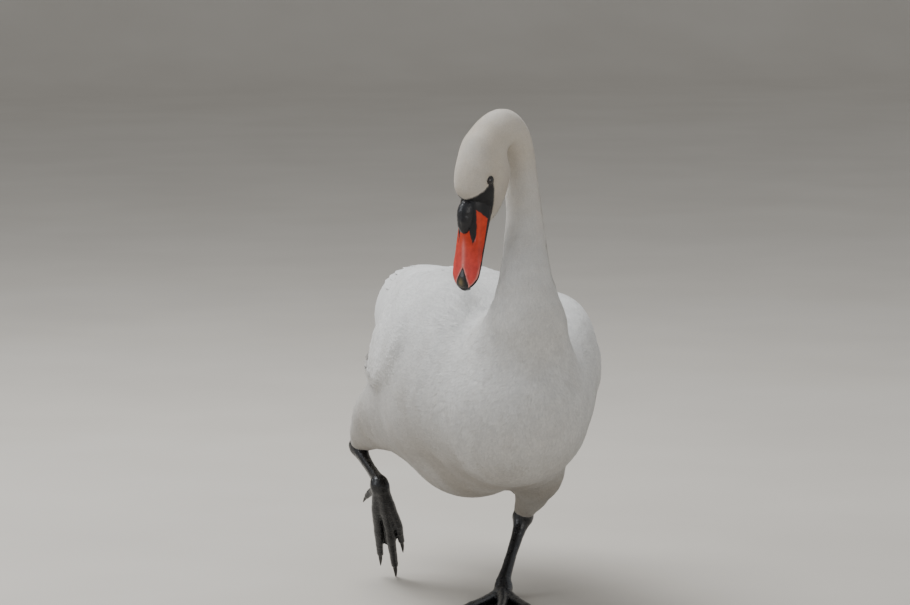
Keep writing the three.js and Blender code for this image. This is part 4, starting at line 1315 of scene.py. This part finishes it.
def bill_rings(upper, f, count):
    """Rings of one half of the bill: half its outline over or under the mouth line, and a flat inside."""
    sign = 1 if upper else -1
    half = bill_size(f, WIDTH)
    if not upper:
        half = np.maximum(half - LOWER_INSET, 0.6)
    a = np.linspace(0, math.pi, count)
    s = np.cos(a) * half[:, None]
    lift = np.sin(a) ** FULLNESS * bill_size(f, HEIGHT if upper else DEPTH)[:, None]
    f, half = f[:, None], half[:, None]
    if upper:
        # A low ridge down the middle, slit nostrils in a hollow, and a lip along the edge.
        out = np.abs(s)
        ridge = 0.8 * bump_at(s, 0, 3.2) * ramp(f, 40, 66) * (1 - ramp(f, 86, 110))
        hollow = 1.9 * np.exp(-(((f - 68) / 6.4) ** 2) ** 1.4) * bump_at(out, 10.9, 2.3)
        valley = 0.9 * bump_at(out, 11.2, 3.4) * ramp(f, 52, 62) * (1 - ramp(f, 74, 92))
        lip = 1.0 * bump_at(lift, 0, 1.8) * ramp(f, 44, 60)
        lift = lift * (1 - 0.05 * ramp(f, 90, 112) * bump_at(s, 0, 7))
        lift = np.maximum(lift + ridge - hollow - valley, 0)
        s = s + np.sign(s) * lip * 0.35
    outline = in_head(s, f, mouth_up(f) + sign * MOUTH_GAP + sign * lift)
    inside = in_head(-np.linspace(-1, 1, 9)[1:-1] * half * 0.9, f, mouth_up(f) + sign * (MOUTH_GAP + 0.9))
    return np.concatenate([outline, inside], 1)


def nail_reach(s, f):
    """How far a place lies outside the nail's outline, a blunt arrowhead on the bill's tip."""
    half = np.interp(f, [104.5, 107, 112, 118, 123, 127, 132], [-0.8, 1.3, 3.7, 6.6, 8.6, 8.8, 8.0])
    return np.where(f > 101, np.abs(s) - half, 9.0)


def bill_tint(p):
    """The upper bill's colours by place: black at its root, round the knob and nostrils, and at its edge."""
    s, f, u = of_head(p)
    wide = np.abs(s)
    low = u - mouth_up(f)
    jitter = 0.35 * waves(p, 7, 61) + 0.2 * waves(p, 2.5, 62)
    colour = RED + (PINK - RED) * ramp(f + 5 * waves(p, 30, 63), 66, 112)[..., None]
    streak = waves(p - (p @ HEAD_ALONG)[..., None] * HEAD_ALONG * 0.82, 5.0, 64)
    colour = colour * (1 + 0.08 * streak + 0.06 * waves(p, 12, 65))[..., None]
    stripe = bump_at(s, 0, 1.5 + 0.012 * f) * ramp(f, 66, 84) * (1 - 0.4 * ramp(f, 100, 110))
    colour = colour + (STRIPE - colour) * (0.75 * stripe)[..., None]
    # The pale rim round the nail and inside the edge near the tip.
    nail = nail_reach(s, f)
    rim = bump_at(nail, 0, 1.6) * 0.8 + 0.6 * bump_at(low, 2.9, 0.9) * ramp(f, 92, 108)
    colour = colour + (PALE - colour) * np.clip(rim, 0, 0.85)[..., None]
    # Black at the root, in a tongue to each nostril, along the edge and under the nail.
    root = 37.0 + (3.0 - u) * 0.42
    outer = np.interp(f, [30, 38, 46, 56, 66, 71, 77.5], [11, 12.0, 13.0, 13.4, 13.4, 12.3, 10.6])
    inner = np.interp(f, [58, 62, 66, 77.5], [-4, 6.4, 7.4, 10.4])
    tongue = np.minimum(np.minimum(outer - wide, wide - inner), 77.5 - f)
    edge = np.interp(f, [40, 60, 100, 124], [2.6, 2.0, 2.1, 2.9]) - low
    black = np.maximum(np.maximum(root - f, tongue), np.maximum(edge, -nail - 0.2)) + jitter
    dark = ramp(black, -0.3, 0.3)[..., None]
    return colour * (1 - dark) + HORN * dark


def horn_material(name, rough, coat, relief, size):
    """Bare horn or skin, coloured by the tint of its net, with pores, streaks and a thin gloss."""
    n = Nodes(name)
    height = n.mixed(0.35, n.noise(size, 5, 0.62), n.cells(size * 1.6))
    return n.set(color=n.toned(n.tint(), n.spread(n.noise(size * 0.35, 4, 0.6), 0.82, 1.12)),
                 rough=n.spread(n.noise(size * 0.6, 3), rough - 0.07, rough + 0.09),
                 bump=n.bump(height, relief, 0.0005), spec=0.3, coat=coat, coat_rough=0.12)


def both_halves_of_bill():
    stations = np.concatenate([np.linspace(26, 124, 190), np.linspace(124, BILL_TIP, 24)[1:]])
    rings = bill_rings(True, stations, UPPER_COLUMNS)
    verts, quads = ring_net(rings)
    tint = bill_tint(verts)
    tint.reshape(rings.shape)[:, UPPER_COLUMNS:] = HORN * 1.3
    skin = horn_material("bill_skin", 0.40, 0.14, 0.28, 480)
    piece("upper_bill", (verts, quads), skin, tint, "bill", "bill_upper")

    stations = np.concatenate([np.linspace(24, 122, 70), np.linspace(122, BILL_TIP - 1.5, 12)[1:]])
    verts, quads = ring_net(bill_rings(False, stations, LOWER_COLUMNS)[:, ::-1])
    s, f, _ = of_head(verts)
    tone = 0.25 * waves(verts, 20, 66) + 0.4 * ramp(f, 60, 110) * (1 - ramp(np.abs(s), 9, 13))
    tone = np.clip(tone, 0, 1)[:, None]
    tint = HORN * (1 - tone) + DARK_RED * tone
    piece("lower_bill", (verts, quads), black_horn, tint, "black_skin", "bill_lower")


def knob():
    """A soft, lobed black boss at the root of the bill."""
    boss = blend(5, head_egg(42, 4.5, 10.4, 17, 18, 12.5, 15), head_egg(53, 2, 8, 14, 10, 11, 12))

    def field(p):
        s, f, _ = of_head(p)
        furrow = 0.7 * bump_at(s, 0, 1.4) * ramp(f, 34, 44) * (1 - ramp(f, 56, 64))
        return boss(p) + furrow + 0.4 * waves(p, 9, 67) + 0.2 * waves(p, 3.6, 68) + 0.45
    middle = in_head(0, 45, 3)
    verts, quads = nets(Grid(field, middle - 32, middle + 32, 1.15))
    tint = KNOB_BLACK * (1 + 0.2 * waves(verts, 6, 69))[:, None]
    skin = horn_material("knob_skin", 0.36, 0.35, 0.6, 560)
    piece("knob", (verts, quads), skin, tint, "black_skin", "bill_knob")


def nail():
    """A hard, hooked shield on the tip of the upper bill."""
    first, last = 104.6, 131.4
    f = np.linspace(first, last, 44)[:, None]
    x = np.linspace(-1, 1, 33)
    half = np.maximum(-nail_reach(np.zeros_like(f), f), 0.15)
    s = x * (half * np.sqrt(np.maximum(1 - ramp(f, 126, last) ** 2, 0.004)))
    on = np.minimum(f, BILL_TIP - 0.5)
    over = np.maximum(1 - (s / bill_size(on, WIDTH)) ** 2, 0) ** (FULLNESS / 2) * bill_size(on, HEIGHT)
    surface = mouth_up(f) + MOUTH_GAP + over - 3.0 * ramp(f, 124, last) ** 1.5
    thick = (0.25 + 1.25 * ramp(f, 106, 120)) * np.sqrt(np.maximum(1 - x**4, 0))
    top = in_head(s, f, surface + thick - 0.15)
    bottom = in_head(s, f, surface - 1.6 - 0.4 * thick)
    verts, quads = ring_net(np.concatenate([top, bottom[:, ::-1]], 1))
    s, f, _ = of_head(verts)
    centre = np.exp(-(((f - 122.5) / 4.2) ** 2) - (((s + 0.4) / 3.2) ** 2))[:, None]
    piece("nail", (verts, quads), black_horn, HORN * (1 - centre) + OLIVE * centre, "black_skin", "bill_nail")


black_horn = horn_material("black_horn", 0.32, 0.30, 0.34, 420)
both_halves_of_bill()
knob()
nail()


# ============================== eyes and lids ==============================
IRIS = np.array([0.011, 0.0055, 0.0030])
PUPIL = 0.0015
EYE_WHITE = np.array([0.09, 0.075, 0.065])
# The lids' rings: outwards from the slit and above the ball; then outwards over the skin and under its
# surface.
LID_EDGE = ((-0.25, -0.5), (-0.1, 0.10), (0.10, 0.26), (0.35, 0.30), (0.65, 0.18))
LID_SKIRT = ((0.35, 0.35), (0.7, 0.6), (1.0, 1.0), (1.25, 2.2))
LID_RIPPLE = np.array([0, 0, 0.3, 0.8, 1, 1, 0.6, 0, 0])


def eyeball(name):
    at, out, slit, across = EYES[name]
    rows, columns = 33, 48
    a = np.linspace(0, math.pi, rows)[:, None]
    b = np.linspace(0, TURN, columns + 1)[:-1]
    ways_out = (np.cos(a)[..., None] * out + (np.sin(a) * np.cos(b))[..., None] * slit
                + (np.sin(a) * np.sin(b))[..., None] * across)
    cornea = 0.35 * bump_at(a, 0, 0.42)
    net = ring_net(at + ways_out * (EYEBALL + cornea)[..., None])
    pupil, white = 1 - ramp(a, 0.27, 0.33), ramp(a, 0.86, 0.98)
    spokes = 1 + 0.25 * np.sin(b * 17 + 2 * np.sin(a * 9)) * ramp(a, 0.3, 0.5)
    spokes, pupil, white = (np.broadcast_to(v, (rows, columns)).reshape(-1, 1)
                            for v in (spokes, pupil, white))
    tint = (IRIS * spokes) * (1 - pupil) + PUPIL * pupil
    n = Nodes(f"eye_{name}")
    material = n.set(color=n.toned(n.tint(), n.spread(n.noise(900, 3), 0.85, 1.15)),
                     rough=n.spread(n.noise(500, 2), 0.10, 0.16), bump=n.bump(n.noise(700, 2), 0.03, 0.0001),
                     spec=0.3, coat=0.55, coat_rough=0.03)
    piece(f"eyeball_{name}", net, material, tint * (1 - white) + EYE_WHITE * white, "eye", f"eye_{name}")


def eyelids(name):
    """A soft black rim that rises from the skin and closes on the ball in a slanting almond."""
    at, out, slit, across = EYES[name]
    t = np.linspace(0, TURN, 57)[:-1, None]
    long_way = OPENING[0] * np.sign(np.cos(t)) * np.abs(np.cos(t)) ** 0.92
    short_way = OPENING[1] * np.sin(t) * (1 - 0.16 * np.cos(t) ** 2)
    opening = long_way * slit + short_way * across
    reach = length_of(opening)[:, None]
    way = opening / reach
    ball = np.sqrt(EYEBALL**2 - reach**2)
    rings = [at + way * (reach + grow) + out * (ball + lift - np.maximum(grow, 0) * 0.62)
             for grow, lift in LID_EDGE]
    lip = rings[-1]
    for share, depth in LID_SKIRT:
        skirt, _ = settle(head_surface, at + way * (reach + 0.65 + 1.5 * share) + out * ball, depth, 4)
        joined = min(1.0, share / 0.7)
        rings.append(lip * (1 - joined) + skirt * joined)
    ripple = 0.03 * np.sin(9 * t) * LID_RIPPLE[:, None, None]
    net = ring_net(np.array(rings) + out * ripple)
    piece(f"eyelids_{name}", net, black_horn, BLACK * 0.6, "black_skin")


for side_name in SIDES:
    eyeball(side_name)
    eyelids(side_name)


# ============================== legs, webs and claws ==============================
# Stations of x, y, z and radius.
SHANKS = {
    "left": {"shin": [[77, 76, 118, 8], [75, 88, 101, 9.5]], "heel": [73.5, 92, 92, 11.6],
             "bone": [[72, 90.5, 88, 10], [63, 79.5, 69, 7.4], [53, 66, 51, 6.6], [44, 53, 34, 7.2],
                      [37, 44, 21, 8.6]]},
    "right": {"shin": [[-99, 206, 182, 8], [-102, 220, 173, 9.5]], "heel": [-103, 228, 166, 11.6],
              "bone": [[-103, 224, 162, 10], [-101, 204, 152.5, 7.4], [-99, 182, 145, 6.6],
                       [-97, 159, 138, 7.2], [-96, 144, 133.5, 8.6]]}}
TOES = {
    "left": {"inner": [[32, 36, 9, 8], [8, 6, 6, 6.2], [-16, -22, 5.4, 5.6], [-38, -45, 4.4, 4.4]],
             "middle": [[33, 34, 9, 8.4], [22, -14, 6, 6.6], [9, -58, 5.4, 6.2], [-4, -98, 4.4, 4.6]],
             "outer": [[36, 35, 9, 8], [40, -10, 6, 6.2], [43, -50, 5.4, 5.8], [44, -92, 4.4, 4.4]],
             "hind": [[38, 46, 9, 6], [45, 57, 8, 4.8], [50, 66, 6, 3.6]]},
    "right": {"inner": [[-91, 140, 124, 7], [-80, 153, 101, 6], [-66, 174, 74, 5.4], [-57, 194, 50, 4.2]],
              "middle": [[-95, 139, 124, 8], [-86, 157, 96, 6.4], [-73, 184, 57, 5.8], [-62, 210, 17.5, 4.6]],
              "outer": [[-98, 141, 124, 7.2], [-95, 163, 96, 6.2], [-87, 190, 64, 5.6], [-79, 217, 31, 4.3]],
              "hind": [[-98, 150, 123, 5.8], [-102, 163, 118, 4.6], [-105, 173, 111, 3.6]]}}
PLANTED = "left"
TOE_STEPS = 22
JOINTS = (7, 15)
TOE_BLEND = 8
WEB_STEPS = 160
WEB_HALF = 0.75
WEB_REACH = 0.9
WEB_HOLLOW = 0.13
CLAW_LENGTH = 14
SOLE_GAP = 0.2
SCUTE = 3.4
NO_SCUTE = 0.6
LEG_BLACK = np.array([0.0075, 0.0078, 0.0092])
WEB_BLACK = np.array([0.0095, 0.0095, 0.0105])
CLAW_BLACK = np.array([0.016, 0.0145, 0.0135])
DARKEST = 0.004
Z = np.array([0, 0, 1.0])


def leg_material():
    """Dark, damp skin with scutes: bands across the toes and small plates on the shank."""
    n = Nodes("leg_skin")
    groove = n.mapped(n.cells(330, {"Randomness": 0.85}, feature="DISTANCE_TO_EDGE"), 0.0, 0.16, 0.0, 1.0)
    scute = n.mapped(n.math("FRACT", n.value("band"), 1.0), 0.0, 0.22, 0.0, 1.0)
    relief = n.math("MINIMUM", groove, scute)
    # Painted shade: darker in the grooves between the scutes; the noise is random tone.
    tone = n.math("MULTIPLY", n.spread(n.noise(90, 4), 0.65, 1.4), n.mapped(relief, 0.0, 1.0, 0.62, 1.0))
    bump = n.bump(relief, 0.4, 0.0005, Normal=n.bump(n.noise(900, 4), 0.15, 0.0003))
    return n.set(color=n.toned(n.tint(), tone), rough=n.spread(n.noise(140, 3), 0.22, 0.38), bump=bump,
                 spec=0.3, coat=0.45, coat_rough=0.14)


leg_skin = leg_material()


def above_floor(places):
    return np.maximum(places, [-np.inf, -np.inf, SOLE_GAP])


def leg_field(name, lines):
    """The solid of a leg's bare skin: the shank, and toes along lines, swollen at their joints."""
    planted = name == PLANTED
    shank = SHANKS[name]
    x, y, z, _ = shank["bone"][-1]
    knuckle_at = np.array([x, y - (4 if planted else 2), z - (6 if planted else 3)], float)
    knuckle = egg(knuckle_at, 10.5, 11, 10.5, 9, 8, axes=(np.eye(3)[0], -np.eye(3)[1], Z))
    shank_field = blend(7, limb(shank["shin"] + [shank["heel"]], 10),
                        limb([shank["heel"]] + shank["bone"], 20), knuckle)
    toe_fields = [limb(stations, TOE_STEPS) for stations in TOES[name].values()]

    def field(p):
        shank_part = shank_field(p)
        toe_part = np.min([toe_field(p) for toe_field in toe_fields], 0)
        h = np.maximum(TOE_BLEND - np.abs(shank_part - toe_part), 0) / TOE_BLEND
        d = np.minimum(shank_part, toe_part) - h * h * TOE_BLEND / 4
        for toe, (line, radius) in lines.items():
            for j in (JOINTS if toe != "hind" else ()):
                d = d - 0.9 * bump_at(length_of(p - line[j]), 0, radius[j] * 1.25)
        d = d + 0.16 * waves(p, 7, 91)
        return np.maximum(d, 0.25 - p[..., 2]) if planted else d
    return field


def scute_bands(verts, lines):
    """The run along the toe that each place lies on, in scutes."""
    band = np.full(len(verts), NO_SCUTE)
    for line, radius in lines.values():
        d = length_of(verts[:, None] - line[None])
        near = d.argmin(1)
        run = along(line)[near] + np.sum((verts - line[near]) * ways(line)[near], 1)
        band = np.where((d.min(1) < radius[near] * 1.5) & (run > 5), run / SCUTE, band)
    return band


def shank_and_toes(name):
    """The net of a leg's bare skin, its tint, and its scute bands along each toe."""
    lines = {toe: path(stations, TOE_STEPS) for toe, stations in TOES[name].items()}
    every = np.concatenate([line for line, _ in lines.values()]
                           + [np.array(SHANKS[name][part])[:, :3] for part in ("bone", "shin")])
    verts, quads = nets(Grid(leg_field(name, lines), every.min(0) - 22, every.max(0) + 22, 2.0))
    tint = LEG_BLACK * (1 + 0.35 * waves(verts, 24, 92) + 0.15 * waves(verts, 6, 93))[:, None]
    return verts, quads, tint, scute_bands(verts, lines)


def web(name, toe_names):
    """A thin sheet between two toes, with a hollow free edge and fine folds towards it."""
    planted = name == PLANTED
    hang = np.zeros(3) if planted else np.array([4.0, 14, -6])
    lift = Z if planted else unit(np.array([0.1, 0.8, 0.6]))
    s, t = np.meshgrid(np.linspace(0.02, 1, 34), np.linspace(0, 1, 26), indexing="ij")
    bow = 4 * t * (1 - t)
    share = s * (WEB_REACH - WEB_HOLLOW * bow)
    rails = []
    for toe in toe_names:
        stations = np.array(TOES[name][toe], float)
        if planted:
            stations[:, 2] = 1.1
        fine = centripetal(stations[:, :3], np.linspace(0, 1, WEB_STEPS))
        at = share * (WEB_STEPS - 1)
        i = np.minimum(at.astype(int), WEB_STEPS - 2)
        rails.append(fine[i] * (1 - (at - i))[..., None] + fine[i + 1] * (at - i)[..., None])
    p = rails[0] * (1 - t)[..., None] + rails[1] * t[..., None] + hang * (bow * share)[..., None]
    fold = 0.35 * np.sin(t * math.pi * 7 + 1.3 * np.sin(6 * s)) * bow * s
    height = fold + 0.25 * waves(p, 9, 94) * 0.5
    if planted:
        height = np.maximum(height, -0.2) + 0.1
    top = p + lift * (WEB_HALF + height)[..., None]
    under = p - lift * (WEB_HALF - (0.0 if planted else 1.0) * height)[..., None]
    verts, quads = capped_net(np.concatenate([top, under[:, ::-1]], 1))
    return verts, quads, WEB_BLACK * (1 + 0.3 * waves(verts, 14, 95))[:, None], np.full(len(verts), NO_SCUTE)


def leg(name):
    parts = [shank_and_toes(name), web(name, ("inner", "middle")), web(name, ("middle", "outer"))]
    verts, quads, tint, band = zip(*parts)
    starts = np.cumsum([0] + [len(v) for v in verts])
    net = above_floor(np.concatenate(verts)), np.concatenate([q + start for q, start in zip(quads, starts)])
    piece(f"leg_skin_{name}", net, leg_skin, np.maximum(np.concatenate(tint), DARKEST), "leg_skin",
          f"shank_{name}", f"foot_{name}", values={"band": np.concatenate(band)})


def claw(name, toe):
    """Short, blunt and curved."""
    *_, before, end = np.array(TOES[name][toe], float)
    radius, end = end[3], end[:3]
    droop = np.array([0, 0, -0.1]) if name == PLANTED else np.array([0, 0.12, -0.32])
    length = CLAW_LENGTH * (0.6 if toe == "hind" else 1)
    t = np.linspace(-0.25, 1, 15)
    reach = radius * 0.8 * np.minimum(1, (t + 0.25) / 0.6) + length * np.maximum(t, -0.15)
    line = end + unit(end - before[:3]) * reach[:, None] + droop * (length * np.maximum(t, 0) ** 2)[:, None]
    size = (radius * np.interp(t, [-0.25, 0, 0.45, 0.8, 1], [0.55, 0.66, 0.52, 0.30, 0.10]))[:, None]
    way = ways(line)
    side = unit(np.cross(way, Z))
    a = np.linspace(0, TURN, 21)[:-1]
    flat = 0.9 * np.sin(a) - 0.12 * np.cos(2 * a)
    rings = line[:, None] + side[:, None] * (size * np.cos(a))[..., None] \
        + np.cross(side, way)[:, None] * (size * flat)[..., None]
    verts, quads = capped_net(above_floor(rings))
    tint = np.maximum(CLAW_BLACK * (1 + 0.4 * waves(verts, 5, 96))[:, None], DARKEST)
    piece(f"claw_of_{name}_{toe}", (verts, quads), black_horn, tint, "black_skin", f"claw_{name}_{toe}")


for side_name in SIDES:
    leg(side_name)
    for toe_name in TOES[side_name]:
        claw(side_name, toe_name)


# ============================== stage, lights and camera ==============================
def link(name, data):
    obj = bpy.data.objects.new(name, data)
    bpy.context.scene.collection.objects.link(obj)
    return obj


def stage():
    """A pale floor that curves up behind into a wall."""
    n = Nodes("pale_floor")
    tone = n.spread(n.noise(3, 2), 0.0, 1.0)
    n.set(color=n.mixed(tone, (0.485, 0.452, 0.402, 1), (0.515, 0.482, 0.430, 1)), rough=0.85, spec=0.2)
    size, top, back, bend = 12.0, 6.0, 7.6, 1.5
    rows = [(y, 0.0) for y in np.linspace(-size, back, 8)[:-1]]
    rows += [(back + bend * math.sin(a), bend - bend * math.cos(a)) for a in np.linspace(0, math.pi / 2, 12)]
    rows.append((back + bend, top))
    mesh = bpy.data.meshes.new("floor")
    mesh.from_pydata([(x, y, z) for y, z in rows for x in (-size, size)], [],
                     [(2 * i, 2 * i + 1, 2 * i + 3, 2 * i + 2) for i in range(len(rows) - 1)])
    mesh.polygons.foreach_set("use_smooth", [True] * (len(rows) - 1))
    mesh.materials.append(n.material)
    floor = link("floor", mesh)


def lights():
    world = bpy.data.worlds.new("studio")
    bpy.context.scene.world = world
    world.use_nodes = True
    background = world.node_tree.nodes["Background"]
    background.inputs["Color"].default_value = (0.93, 0.96, 1.0, 1)
    background.inputs["Strength"].default_value = 0.55
    aim = Vector((0, 0, 0.35))
    for name, at, size, power, colour in (
            ("key_from_above", (-0.9, 0.9, 2.9), (2.0, 2.0), 124, (0.955, 0.975, 1.0)),
            ("side_from_left", (-2.6, -0.6, 1.5), (1.4, 1.8), 22, (0.93, 0.96, 1.0)),
            ("fill_from_front", (1.6, -3.2, 1.2), (2.4, 1.8), 23, (1.0, 0.96, 0.90))):
        light = bpy.data.lights.new(name, "AREA")
        light.shape = "RECTANGLE"
        light.size, light.size_y = size
        light.energy = power
        light.color = colour
        obj = link(name, light)
        obj.location = at
        obj.rotation_euler = (aim - Vector(at)).to_track_quat("-Z", "Y").to_euler()


def camera():
    """The photograph's angle, 13 degrees to the swan's right and 7 above level."""
    azimuth, elevation, distance = math.radians(-13), math.radians(7), 6.0
    focal_length, frame_width = 5000, 910  # both in pixels
    target = np.array([-0.032, 0.006, 0.370]) + SHIFT * MM
    back = np.array([math.sin(azimuth) * math.cos(elevation), -math.cos(azimuth) * math.cos(elevation),
                     math.sin(elevation)])
    data = bpy.data.cameras.new("camera")
    data.sensor_width = 36
    data.lens = data.sensor_width * focal_length / frame_width
    data.clip_end = 100
    obj = link("camera", data)
    obj.location = target + back * distance
    obj.rotation_euler = Vector(-back).to_track_quat("-Z", "Y").to_euler()
    bpy.context.scene.camera = obj


stage()
lights()
camera()
